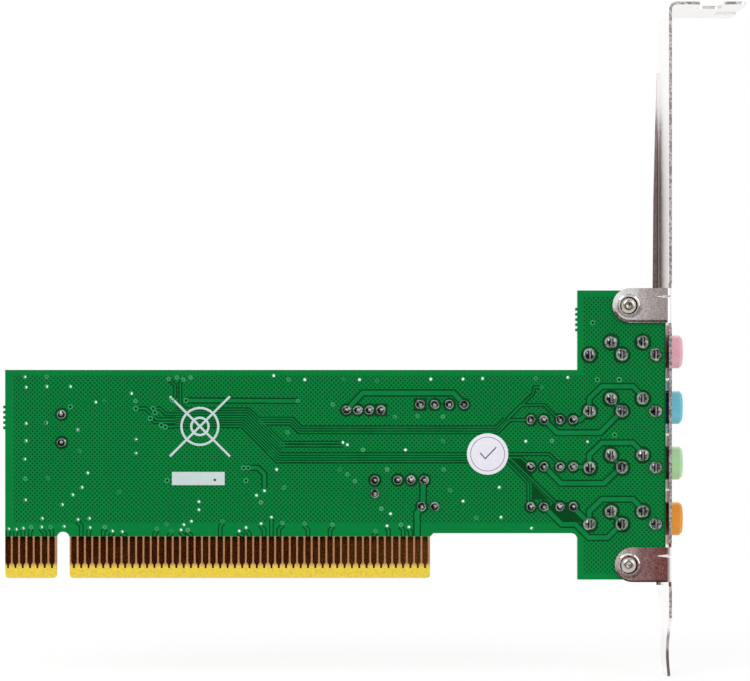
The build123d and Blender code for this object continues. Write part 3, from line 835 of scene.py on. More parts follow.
def box_of(node: str) -> tuple[np.ndarray, np.ndarray]:
    """The lowest and highest corner of a CAD node in millimetres."""
    low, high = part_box(node)
    return np.array(low) / MM, np.array(high) / MM


def middle_of(low: np.ndarray, high: np.ndarray) -> Spot:
    """The middle of a box in X and Z."""
    return (low[0] + high[0]) / 2, (low[2] + high[2]) / 2


def solids_of(node: str) -> list[tuple[np.ndarray, np.ndarray]]:
    """The box of each separate solid in a CAD node.

    Each point takes the lowest label of the triangles round it until no label changes.

    Args:
        node: The node's name.

    Returns:
        The lowest and highest corner of each solid, in millimetres.
    """
    points, triangles = outline_of(node)
    label = np.arange(len(points))
    while True:
        lowest = label.copy()
        np.minimum.at(lowest, triangles, label[triangles].min(axis=1, keepdims=True))
        if (lowest == label).all():
            break
        label = lowest
    groups = [points[label == name] for name in np.unique(label)]
    return [(group.min(axis=0), group.max(axis=0)) for group in groups]


@dataclass(frozen=True)
class BoardPlan:
    """The board's faces and edges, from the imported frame."""

    half: float
    left: float
    body_top: float
    ear_left: float

    @staticmethod
    def read() -> "BoardPlan":
        """Reads the plan off the CAD board, whose left edge and ear carry break-off nubs.

        Returns:
            The plan.
        """
        points, _ = outline_of("circuit_board")
        face = points[points[:, 1] > points[:, 1].max() - WELD]
        left = face[face[:, 2] < NUB_LEVEL, 0].min()
        ear = face[face[:, 2] > face[:, 2].max() - WELD, 0].min()
        body_top = face[face[:, 0] < 0, 2].max()
        return BoardPlan(float(points[:, 1].max()), float(left), float(body_top), float(ear))

    def lift(self, side: Side, x: np.ndarray, height: np.ndarray, z: np.ndarray) -> np.ndarray:
        """Points at places along X and Z and at a height above one face of the board."""
        x, height, z = np.broadcast_arrays(x, height, z)
        return np.stack((x, side.value * (self.half + height), z), axis=-1)


BOARD = BoardPlan.read()


@dataclass
class Shell:
    """Points and faces that grow into one mesh."""

    points: list[np.ndarray] = field(default_factory=list)
    faces: list[list[int]] = field(default_factory=list)
    values: list[np.ndarray] = field(default_factory=list)
    count: int = 0

    def add(
            self, points: np.ndarray, faces: Iterable[Sequence[int]],
            value: np.ndarray | None = None) -> None:
        """Adds points and the faces between them.

        Args:
            points: The points in millimetres.
            faces: Numbers of points for each face.
            value: A stored value for each point.
        """
        flat = points.reshape(-1, 3)
        self.points.append(flat)
        self.faces.extend([[int(corner) + self.count for corner in face] for face in faces])
        self.values.append(np.zeros(len(flat)) if value is None else value.reshape(-1))
        self.count += len(flat)

    def mesh(self, name: str) -> bpy.types.Mesh:
        """The mesh of everything added."""
        return mesh_of(name, np.concatenate(self.points), self.faces)


def mesh_of(name: str, points: np.ndarray, faces: list[list[int]]) -> bpy.types.Mesh:
    """Makes a mesh.

    Args:
        name: The mesh's name.
        points: Its points in millimetres.
        faces: Numbers of points for each face.

    Returns:
        The mesh, in metres.
    """
    mesh = bpy.data.meshes.new(name)
    mesh.from_pydata((points * MM).tolist(), [], faces)
    return mesh


def add_object(name: str, data: bpy.types.ID) -> bpy.types.Object:
    """Makes an object and adds it to the scene.

    Args:
        name: The object's name.
        data: Its mesh, lamp or camera.

    Returns:
        The object.
    """
    made = bpy.data.objects.new(name, data)
    bpy.context.scene.collection.objects.link(made)
    return made


def lattice(rows: int, columns: int, rows_close: bool = False, columns_close: bool = False) -> np.ndarray:
    """Quads between neighbours on a grid of points.

    Args:
        rows: Points along the first parameter.
        columns: Points along the second parameter.
        rows_close: Whether the last row joins the first.
        columns_close: Whether the last column joins the first.

    Returns:
        Four point numbers for each quad.
    """
    row = np.arange(rows if rows_close else rows - 1)[:, None]
    column = np.arange(columns if columns_close else columns - 1)[None, :]
    below, beside = (row + 1) % rows, (column + 1) % columns
    here, there = row * columns, below * columns
    corners = (here + column, here + beside, there + beside, there + column)
    return np.stack(np.broadcast_arrays(*corners), axis=-1).reshape(-1, 4)


def across(path: np.ndarray) -> np.ndarray:
    """Directions across a path at its points.

    At a corner the direction is the sum of its two legs' normals over one plus their cosine, so a band that
    is offset along it keeps its width.

    Args:
        path: Points in X and Z.

    Returns:
        One direction for each point.
    """
    legs = np.diff(path, axis=0)
    legs = legs / np.linalg.norm(legs, axis=1, keepdims=True)
    normal = np.stack((-legs[:, 1], legs[:, 0]), axis=1)
    before, after = np.vstack((normal[:1], normal)), np.vstack((normal, normal[-1:]))
    return (before + after) / (1 + (before * after).sum(axis=1, keepdims=True))


def add_band(shell: Shell, side: Side, path: np.ndarray, width: float, low: float, high: float) -> None:
    """Adds a flat band: a trapezoid section carried along a path on the board.

    Args:
        shell: The mesh in the making.
        side: The face of the board.
        path: Points in X and Z.
        width: The band's width at its foot.
        low: Height of its foot above the face.
        high: Height of its top above the face.
    """
    slope, half = min(high - low, width / 4), width / 2
    section = np.array([(-half, low), (slope - half, high), (half - slope, high), (half, low)])
    spots = path[:, None, :] + across(path)[:, None, :] * section[None, :, :1]
    points = BOARD.lift(side, spots[..., 0], section[None, :, 1], spots[..., 1])
    quads = lattice(len(path), len(section), columns_close=True).tolist()
    last = (len(path) - 1) * len(section)
    ends = [[0, 1, 2, 3], [last, last + 1, last + 2, last + 3]]
    shell.add(points, quads + ends)


def add_turned(
        shell: Shell, side: Side, middle: Spot, profile: Sequence[Spot], segments: int,
        value: Callable[[np.ndarray, np.ndarray], np.ndarray] | None = None) -> None:
    """Adds a ring: a closed profile of radius and height turned about an axis through the board.

    Args:
        shell: The mesh in the making.
        side: The face of the board.
        middle: The axis in X and Z.
        profile: Radius and height of each point, in order round the section.
        segments: Steps round the axis.
        value: A function of angle and height for the points' stored value.
    """
    angle = np.linspace(0, 2 * pi, segments, endpoint=False)[:, None]
    radius, height = np.array(profile).T
    x, z = middle[0] + radius * np.cos(angle), middle[1] + radius * np.sin(angle)
    stored = None if value is None else value(angle + 0 * radius, height + 0 * angle)
    quads = lattice(segments, len(radius), rows_close=True, columns_close=True)
    shell.add(BOARD.lift(side, x, height + 0 * angle, z), quads, stored)


def washer(inner: float, outer: float, low: float, high: float, slope: float = 0.0) -> list[Spot]:
    """The section of a flat ring whose outer side leans inwards by the slope."""
    return [(inner, low), (inner, high), (outer - slope, high), (outer, low)]


def plug(radius: float, low: float, high: float, crown: float = 0.0) -> list[Spot]:
    """The section of a round plug whose middle stands higher than its rim by the crown."""
    return [(0, low), (radius, low), (radius, high), (0, high + crown)]


def disc_grid(rings: int, segments: int) -> tuple[np.ndarray, np.ndarray]:
    """Shares of a radius down a column and angles along a row."""
    angle = np.linspace(0, 2 * pi, segments, endpoint=False)[None, :]
    return np.linspace(0, 1, rings)[:, None], angle


def add_dome(
        shell: Shell, side: Side, middle: Spot, x: np.ndarray, height: np.ndarray, z: np.ndarray,
        foot: float = 0.0, value: np.ndarray | None = None) -> None:
    """Adds a round grid of points, whose rim closes on one point below its middle.

    Args:
        shell: The mesh in the making.
        side: The face of the board.
        middle: The axis in X and Z.
        x: Places along X from the axis, ring by ring.
        height: Heights above the face.
        z: Places along Z from the axis.
        foot: Height of the closing point.
        value: A stored value for each point of the grid.
    """
    rings, segments = height.shape
    flat = np.zeros((1, segments))
    dome = BOARD.lift(side, middle[0] + x, height, middle[1] + z)
    base = BOARD.lift(side, middle[0] + flat, foot + flat, middle[1] + flat)
    stored = None if value is None else np.concatenate((value, flat))
    shell.add(np.concatenate((dome, base)), lattice(rings + 1, segments, columns_close=True), stored)


def add_plate(shell: Shell, side: Side, corners: Sequence[Spot], low: float, high: float) -> None:
    """Adds a thin plate: an outline of corners on the board with a top, a foot and walls between them.

    Args:
        shell: The mesh in the making.
        side: The face of the board.
        corners: The outline in X and Z.
        low: Height of its foot above the face.
        high: Height of its top above the face.
    """
    outline = np.array(corners)
    levels = np.array((low, high))[:, None]
    points = BOARD.lift(side, outline[None, :, 0], levels, outline[None, :, 1])
    count = len(outline)
    faces = lattice(2, count, columns_close=True).tolist()
    faces += [list(range(count)), list(range(count, 2 * count))]
    shell.add(points, faces)


def rectangle(x_low: float, x_high: float, z_low: float, z_high: float) -> list[Spot]:
    """The corners of an upright rectangle."""
    return [(x_low, z_low), (x_high, z_low), (x_high, z_high), (x_low, z_high)]


def around(low: np.ndarray, high: np.ndarray, margin: float) -> list[Spot]:
    """The corners of a rectangle round a box in X and Z."""
    return rectangle(low[0] - margin, high[0] + margin, low[2] - margin, high[2] + margin)


def settle(mesh: bpy.types.Mesh, sharp: float) -> None:
    """Merges doubles, turns the faces outwards and smooths the mesh between sharp edges.

    Args:
        mesh: The mesh.
        sharp: The angle from which an edge stays sharp.
    """
    work = bmesh.new()
    work.from_mesh(mesh)
    bmesh.ops.remove_doubles(work, verts=work.verts, dist=WELD * MM)
    bmesh.ops.dissolve_degenerate(work, edges=work.edges, dist=WELD * MM)
    bmesh.ops.recalc_face_normals(work, faces=work.faces)
    work.to_mesh(mesh)
    work.free()
    mesh.shade_smooth()
    mesh.set_sharp_from_angle(angle=sharp)


def enter(
        mesh: bpy.types.Mesh, finish: Finish, stands_for: Sequence[str] = ()) -> bpy.types.Object:
    """Makes a mesh a piece of the card that rides on its body.

    Args:
        mesh: The finished mesh, named as the piece.
        finish: Its finish.
        stands_for: CAD nodes that the piece replaces.

    Returns:
        The piece.
    """
    mesh.materials.clear()
    mesh.materials.append(finish.material())
    made = add_object(mesh.name, mesh)
    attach(made, BODY)
    if stands_for:
        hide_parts(*stands_for)
    LOG.info("%s: %d faces, finish %s", made.name, len(mesh.polygons), finish.name)
    return made


def piece(
        name: str, shell: Shell, finish: Finish, stands_for: Sequence[str] = (),
        sharp: float = SHARP_ANGLE, attribute: str = "") -> bpy.types.Object:
    """Makes a shell a piece of the card.

    Args:
        name: The piece's name.
        shell: Its points and faces.
        finish: Its finish.
        stands_for: CAD nodes that the piece replaces.
        sharp: The angle from which an edge stays sharp.
        attribute: A name to store the shell's values under.

    Returns:
        The piece.
    """
    mesh = shell.mesh(name)
    if attribute:
        stored = mesh.attributes.new(attribute, "FLOAT", "POINT")
        stored.data.foreach_set("value", np.concatenate(shell.values).astype(np.float32))
    settle(mesh, sharp)
    return enter(mesh, finish, stands_for)


def flat_copy(node: str, name: str) -> bpy.types.Mesh:
    """A welded mesh of a CAD node, with the triangles of its flat faces joined and their directions kept.

    Args:
        node: The CAD node.
        name: The mesh's name.

    Returns:
        The mesh.
    """
    points, triangles = outline_of(node)
    mesh = mesh_of(name, points, triangles.tolist())
    work = bmesh.new()
    work.from_mesh(mesh)
    bmesh.ops.dissolve_limit(work, angle_limit=FLAT_ANGLE, verts=work.verts, edges=work.edges)
    work.to_mesh(mesh)
    work.free()
    return mesh


def eased_copy(
        node: str, name: str, finish: Finish, edge: float, steps: int = 2) -> bpy.types.Object:
    """A copy of a CAD node as a piece, with its sharp edges eased by a bevel.

    Args:
        node: The CAD node that the copy replaces.
        name: The piece's name.
        finish: Its finish.
        edge: Width of the eased edges.
        steps: Steps across an eased edge.

    Returns:
        The piece.
    """
    mesh = flat_copy(node, name)
    mesh.shade_smooth()
    mesh.set_sharp_from_angle(angle=EASED_ANGLE)
    made = enter(mesh, finish, [node])
    bevel = made.modifiers.new("eased_edges", "BEVEL")
    bevel.width = edge * MM
    bevel.segments = steps
    bevel.limit_method = "ANGLE"
    bevel.angle_limit = EASED_ANGLE
    bevel.harden_normals = True
    even = made.modifiers.new("even_flats", "WEIGHTED_NORMAL")
    even.keep_sharp = True
    even.weight = FLAT_WEIGHT
    return made


def dress_node(node: str, finish: Finish) -> None:
    """Gives a CAD node that stays in view its finish.

    Args:
        node: The node's name.
        finish: The finish.
    """
    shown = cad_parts[node]
    if not shown.material_slots:
        shown.data.materials.append(None)
    for slot in shown.material_slots:
        slot.material = finish.material()
    LOG.info("%s: CAD node, finish %s", node, finish.name)


class Level(Enum):
    """Heights of the thin layers above a face of the board."""

    GAP = 0.004
    RING = 0.018
    TRACK = 0.03
    PAD = 0.05
    INK = 0.031

    @staticmethod
    def nudge(number: int) -> float:
        """A small rise that keeps neighbours in a row at different heights."""
        return number % LAYER_COUNT * LAYER_STEP


@dataclass(frozen=True)
class Track:
    """A copper track along corners in X and Z, or several at a pitch, with a bare gap round them."""

    corners: tuple[Spot, ...]
    width: float = 0.24
    lines: int = 1
    pitch: float = 0.43
    gap: float = 0.24

    def path(self) -> np.ndarray:
        """The middle line."""
        return np.array(self.corners, dtype=float)

    def lay(self, side: Side, copper: Shell, gaps: Shell, number: int) -> None:
        """Adds the copper bands and the darker band of bare laminate round them.

        Args:
            side: The face of the board.
            copper: The mesh of the copper in the making.
            gaps: The mesh of the bare laminate in the making.
            number: The track's place in the pattern, which sets its layer.
        """
        path, rise = self.path(), Level.nudge(number)
        spread = (self.lines - 1) * self.pitch
        add_band(gaps, side, path, spread + self.width + 2 * self.gap, 0.0, Level.GAP.value + rise)
        for line in range(self.lines):
            offset = line * self.pitch - spread / 2
            add_band(copper, side, path + across(path) * offset, self.width, 0.0, Level.TRACK.value + rise)

    def clear_of(self, spots: Iterable[Spot], reach: float) -> bool:
        """Whether the track keeps its distance from some places.

        Args:
            spots: The places in X and Z.
            reach: The distance from the middle line.

        Returns:
            True if every place is farther than the reach.
        """
        path, places = self.path(), np.array(list(spots))[:, None, :]
        legs = np.diff(path, axis=0)
        along = ((places - path[:-1]) * legs).sum(axis=-1) / (legs ** 2).sum(axis=-1)
        nearest = path[:-1] + np.clip(along, 0, 1)[..., None] * legs
        return bool((np.linalg.norm(places - nearest, axis=-1) > reach).all())


@dataclass
class SolderSideTracks:
    """The copper pattern of the solder side, drawn corner by corner on the board."""

    loop_width: float = 0.78
    link_width: float = 0.6
    wide_gap: float = 0.25
    sockets: Triple = (9.94, 19.74, 29.54)
    loop: tuple[Spot, ...] = ((64.7, -0.4), (64.7, 1.7), (66.9, 3.8), (72.3, 3.8), (74.0, 2.0))
    link: tuple[Spot, ...] = ((68.4, 1.7), (70.3, -0.5))
    buses: tuple[Track, ...] = (
        Track(((-7.2, 27.9), (5.0, 27.9), (10.9, 22.0)), 0.22, 8, 0.42),
        Track(((7.3, 27.3), (13.0, 27.3), (14.5, 25.8), (48.7, 25.8), (50.4, 27.5)), 0.22, 3, 0.43),
        Track(((9.3, 24.8), (10.8, 23.3), (21.8, 23.3)), 0.22, 2, 0.5),
        Track(((9.2, 22.4), (10.7, 20.95), (50.5, 20.95)), 0.22, 4, 0.43))
    leads: tuple[Track, ...] = (
        Track(((-14.0, 29.5), (-12.3, 29.5), (-10.4, 27.6), (-7.2, 27.6)), 0.3),
        Track(((-11.0, 29.5), (-9.8, 29.5), (-8.8, 28.5), (-7.2, 28.5))),
        Track(((-11.5, 27.8), (-10.8, 27.1), (-7.2, 27.1))),
        Track(((-8.9, 26.3), (-7.2, 26.4)), 0.3),
        Track(((-8.3, 34.6), (-7.2, 33.5), (-7.2, 31.5), (-7.7, 31.0))),
        Track(((-5.8, 34.5), (-6.3, 34.0), (-6.3, 30.2), (-5.4, 29.3), (-4.0, 29.3))),
        Track(((50.3, 27.4), (54.9, 32.0), (55.2, 33.2), (56.4, 33.2))),
        Track(((50.5, 27.8), (52.8, 30.1), (56.9, 30.1), (59.4, 27.6))),
        Track(((49.4, 26.0), (50.9, 27.5), (54.5, 27.5)), 0.3),
        Track(((50.4, 21.6), (57.7, 21.6), (59.7, 19.6))),
        Track(((50.4, 21.0), (52.8, 21.0), (54.5, 19.4))),
        Track(((50.0, 20.7), (54.1, 16.5), (54.1, 13.6), (54.5, 12.6))),
        Track(((50.6, 20.9), (51.2, 20.6), (59.4, 12.6))))
    links: tuple[tuple[float, tuple[Spot, ...]], ...] = (
        (0.62, ((-5.2, 30.9), (14.1, 30.8))),
        (0.8, ((22.6, 29.3), (25.4, 32.2), (41.1, 32.2), (42.9, 30.3))),
        (0.9, ((35.9, 17.0), (35.8, 12.6))),
        (0.9, ((35.6, 12.5), (34.8, 11.3), (34.8, 7.3))),
        (0.62, ((4.7, 19.2), (7.2, 19.2), (8.3, 18.1), (8.3, 15.65))),
        (0.7, ((61.7, 27.5), (63.1, 27.5), (64.7, 29.0))),
        (0.78, ((56.9, 27.5), (59.1, 25.3), (66.6, 25.3), (70.3, 29.0))),
        (0.62, ((61.9, 19.4), (64.7, 19.3))),
        (0.78, ((56.9, 19.4), (59.8, 16.5), (67.2, 16.5), (70.2, 19.3))),
        (0.78, ((61.8, 12.4), (64.7, 9.6))),
        (0.78, ((56.9, 12.4), (59.9, 9.4), (62.3, 9.4), (64.6, 7.1), (67.9, 7.1), (70.2, 9.4))))
    bare: tuple[tuple[Spot, ...], ...] = (
        ((51.0, 21.0), (53.2, 21.0), (54.8, 19.3), (54.9, 17.0)),
        ((54.7, 16.6), (54.7, 13.7), (57.6, 13.7)),
        ((57.9, 12.3), (58.6, 13.4), (62.6, 13.1), (63.6, 11.2), (63.9, 9.6), (62.6, 9.9), (60.1, 9.9)))
    contact_pitch: float = 1.27
    stub_top: float = 10.7
    stub_width: float = 0.42
    stub_gap: float = 0.2
    stub_drop: Span = (0.38, 0.45)
    stub_foot: float = 0.2
    key_slot: float = -26.67
    key_reach: float = 1.9

    def contact_near(self, x: float) -> float:
        """The middle of the edge contact nearest to a place along X, which is at an odd half pitch."""
        return (round(x / self.contact_pitch - 0.5) + 0.5) * self.contact_pitch

    def stubs(self, vias: Iterable[Spot]) -> list[Track]:
        """Short tracks from the lowest vias down to the contacts below them.

        Args:
            vias: The vias in X and Z.

        Returns:
            One track for each contact that has a via near it.
        """
        made, end = {}, BoardMask.mask_end
        for x, z in sorted(vias, key=lambda spot: spot[1]):
            foot = self.contact_near(x)
            in_key = abs(foot - self.key_slot) < self.key_reach
            if z > self.stub_top or x > BoardMask.connector_end or in_key or foot in made:
                continue
            start, turn = (z - drop for drop in self.stub_drop)
            bend = max(turn - abs(foot - x), end + self.stub_foot)
            corners = ((x, start), (x, turn), (foot, bend), (foot, end))
            made[foot] = Track(corners, self.stub_width, gap=self.stub_gap)
        return list(made.values())

    def build(self, vias: Iterable[Spot]) -> None:
        """Makes the copper and the bare laminate round it as two pieces.

        Args:
            vias: The vias in X and Z.
        """
        copper, gaps = Shell(), Shell()
        links = [Track(corners, width, gap=self.wide_gap) for width, corners in self.links]
        tracks = [*self.buses, *self.leads, *links, *self.stubs(vias)]
        for height in self.sockets:
            for corners, width in ((self.loop, self.loop_width), (self.link, self.link_width)):
                raised = tuple((x, height + z) for x, z in corners)
                tracks.append(Track(raised, width, gap=self.wide_gap))
        for number, track in enumerate(tracks):
            track.lay(Side.SOLDER, copper, gaps, number)
        for corners in self.bare:
            add_plate(gaps, Side.SOLDER, corners, 0.0, Level.GAP.value / 2)
        piece("solder_side_tracks", copper, MASK_TRACK)
        piece("solder_side_gaps", gaps, MASK_GAP)


@dataclass
class EdgeContacts:
    """The gold contacts on both faces, with rounded shoulders and the narrow tail of the plating bar."""

    shoulder: float = 2.8
    neck: float = 2.35
    tail_half: float = 0.17
    tail_end: float = 1.82
    corner: float = 0.22
    corner_steps: int = 4

    def outline(self, low: np.ndarray, high: np.ndarray) -> list[Spot]:
        """The corners of one contact: rounded top, straight sides, tapered shoulders and tail.

        Args:
            low: The lowest corner of the contact's solid.
            high: Its highest corner.

        Returns:
            The corners in X and Z.
        """
        x, half = middle_of(low, high)[0], (high[0] - low[0]) / 2
        turn = np.linspace(0, pi / 2, self.corner_steps)
        aside = half - self.corner + self.corner * np.cos(turn)
        height = BoardMask.mask_end - self.corner + self.corner * np.sin(turn)
        right = [(half, self.shoulder), *zip(aside, height)]
        left = [(-place, level) for place, level in reversed(right)]
        tail = [(-self.tail_half, self.neck), (-self.tail_half, self.tail_end),
                (self.tail_half, self.tail_end), (self.tail_half, self.neck)]
        return [(x + place, level) for place, level in right + left + tail]

    def build(self) -> None:
        """Makes the contacts of each face as one piece."""
        for side, node in ((Side.SOLDER, "solder_side_contacts"), (Side.PARTS, "component_side_contacts")):
            shell = Shell()
            for low, high in solids_of(node):
                add_plate(shell, side, self.outline(low, high), 0, high[1] - low[1])
            piece(f"{node}_plating", shell, GOLD, [node])


@dataclass
class Vias:
    """Plated holes between the faces: drilled ones that show daylight, plugged ones and tented ones.

    A drilled or plugged via has a pale ring, a plugged one also a dark filling, and a tented one is a low
    pale dome of mask with a hollow middle. The tent's section is in radius and height.
    """

    drilled: tuple[Spot, ...] = (
        (-33.3, 35.0), (-33.1, 33.2), (-29.5, 33.3), (-25.4, 33.3), (-21.0, 30.6), (-14.8, 32.1),
        (-33.1, 26.9), (-29.6, 27.0), (-24.1, 25.8), (-33.1, 23.9), (-33.3, 20.7), (-14.0, 24.1),
        (-14.0, 21.7), (-22.4, 18.3), (-23.4, 15.8), (-25.0, 14.5), (-26.8, 12.8), (-33.2, 13.6),
        (-30.3, 10.4), (-24.1, 10.2), (-22.1, 10.4), (-36.1, 8.6), (-34.8, 8.5), (-33.6, 8.7), (-30.4, 8.9),
        (-26.5, 9.0), (-22.0, 8.8), (-18.1, 8.2), (-16.4, 8.1), (-3.1, 13.3), (-3.1, 11.9), (-4.4, 9.9),
        (-5.7, 9.3), (-6.2, 8.4), (3.9, 8.2), (5.1, 8.8), (9.9, 35.2), (15.3, 34.5), (24.8, 34.5),
        (37.2, 34.6), (42.8, 34.6), (46.2, 34.7), (21.9, 23.6), (22.7, 23.2), (32.8, 22.3), (10.4, 18.9),
        (6.9, 14.4), (8.3, 15.2), (7.7, 9.5), (9.5, 10.6), (30.2, 11.2), (29.6, 9.1), (33.4, 8.9),
        (42.8, 13.4), (49.1, 15.8), (61.0, 34.9), (53.7, 23.8), (49.4, 10.6), (54.7, 8.7))
    plugged: tuple[Spot, ...] = (
        (-25.4, 29.8), (-14.0, 29.5), (-11.0, 29.5), (-10.7, 28.8), (-11.5, 27.8), (-9.6, 26.6),
        (-8.9, 26.3), (-7.7, 31.0), (-5.3, 30.9), (4.7, 19.2), (5.5, 19.2), (-8.6, 17.0), (5.1, 17.0),
        (66.1, 34.5), (69.9, 34.5), (65.3, 44.4), (69.1, 24.9))
    tented: tuple[Spot, ...] = (
        (-29.5, 35.0), (-8.3, 34.6), (-6.9, 34.9), (-5.8, 34.5), (-4.5, 34.9), (-19.5, 30.7), (-14.1, 30.8),
        (-23.8, 22.1), (-33.2, 17.3), (-29.3, 17.4), (-17.0, 15.0), (-32.2, 8.9), (-28.8, 8.9),
        (-19.4, 8.9), (-10.4, 8.6), (-7.9, 8.2), (-5.0, 8.4), (-8.7, 9.4), (1.0, 9.9), (12.5, 34.5),
        (22.1, 34.5), (27.8, 34.3), (20.2, 30.2), (30.9, 28.0), (34.9, 28.2), (39.3, 28.1), (12.3, 25.4),
        (39.3, 23.8), (25.4, 22.3), (21.4, 18.9), (22.7, 18.1), (24.0, 16.9), (29.6, 18.9), (39.4, 18.9),
        (11.7, 15.8), (7.7, 13.2), (40.5, 15.3), (28.6, 12.1), (45.1, 10.5), (11.4, 9.6), (15.3, 9.5),
        (20.1, 9.3), (27.6, 8.2), (32.0, 9.3), (58.2, 23.9), (55.4, 34.7), (56.4, 33.2), (14.1, 30.8))
    hole: float = 0.232
    hole_pad: float = 0.38
    filling: float = 0.24
    filling_pad: float = 0.47
    filling_over: float = 0.013
    pad_rise: float = 0.05
    tent: tuple[Spot, ...] = ((0.12, 0.0), (0.16, 0.045), (0.32, 0.045), (0.4, 0.0))
    sides: int = 12

    def every(self) -> tuple[Spot, ...]:
        """All vias."""
        return self.drilled + self.plugged + self.tented

    def board(self) -> None:
        """Makes the board's copy, drilled by bits that reach its own thickness past each face."""
        node = "circuit_board"
        made = enter(flat_copy(node, "drilled_board"), MASK_BOARD, [node])
        drill, thickness = Shell(), 2 * BOARD.half
        bit = plug(self.hole, -2 * thickness, thickness)
        for spot in self.drilled:
            add_turned(drill, Side.PARTS, spot, bit, self.sides)
        bits = drill.mesh("drill")
        settle(bits, SHARP_ANGLE)
        tool = add_object("drill", bits)
        cut = made.modifiers.new("drilled", "BOOLEAN")
        cut.object, cut.operation, cut.solver = tool, "DIFFERENCE", "EXACT"
        drilled = bpy.data.meshes.new_from_object(made.evaluated_get(bpy.context.evaluated_depsgraph_get()))
        made.modifiers.clear()
        made.data = drilled
        drilled.name = made.name
        drilled.materials.clear()
        drilled.materials.append(MASK_BOARD.material())
        bpy.data.objects.remove(tool)
        LOG.info("%s: %d holes, %d faces", made.name, len(self.drilled), len(drilled.polygons))

    def build(self) -> None:
        """Makes the rings, the fillings and the tents on both faces."""
        filling = plug(self.filling, 0, Level.TRACK.value + self.filling_over)
        filling_ring = washer(self.filling, self.filling_pad, 0, self.pad_rise, self.pad_rise)
        ring = washer(self.hole, self.hole_pad, 0, self.pad_rise, self.pad_rise)
        kinds = (
            ("via_rings", MASK_RING, self.drilled, ring),
            ("via_plug_rings", MASK_RING, self.plugged, filling_ring),
            ("via_plugs", MASK_PLUG, self.plugged, filling),
            ("tented_vias", MASK_TENT, self.tented, self.tent))
        for name, finish, spots, profile in kinds:
            shell = Shell()
            for side in Side:
                for spot in spots:
                    add_turned(shell, side, spot, profile, self.sides)
            piece(name, shell, finish)


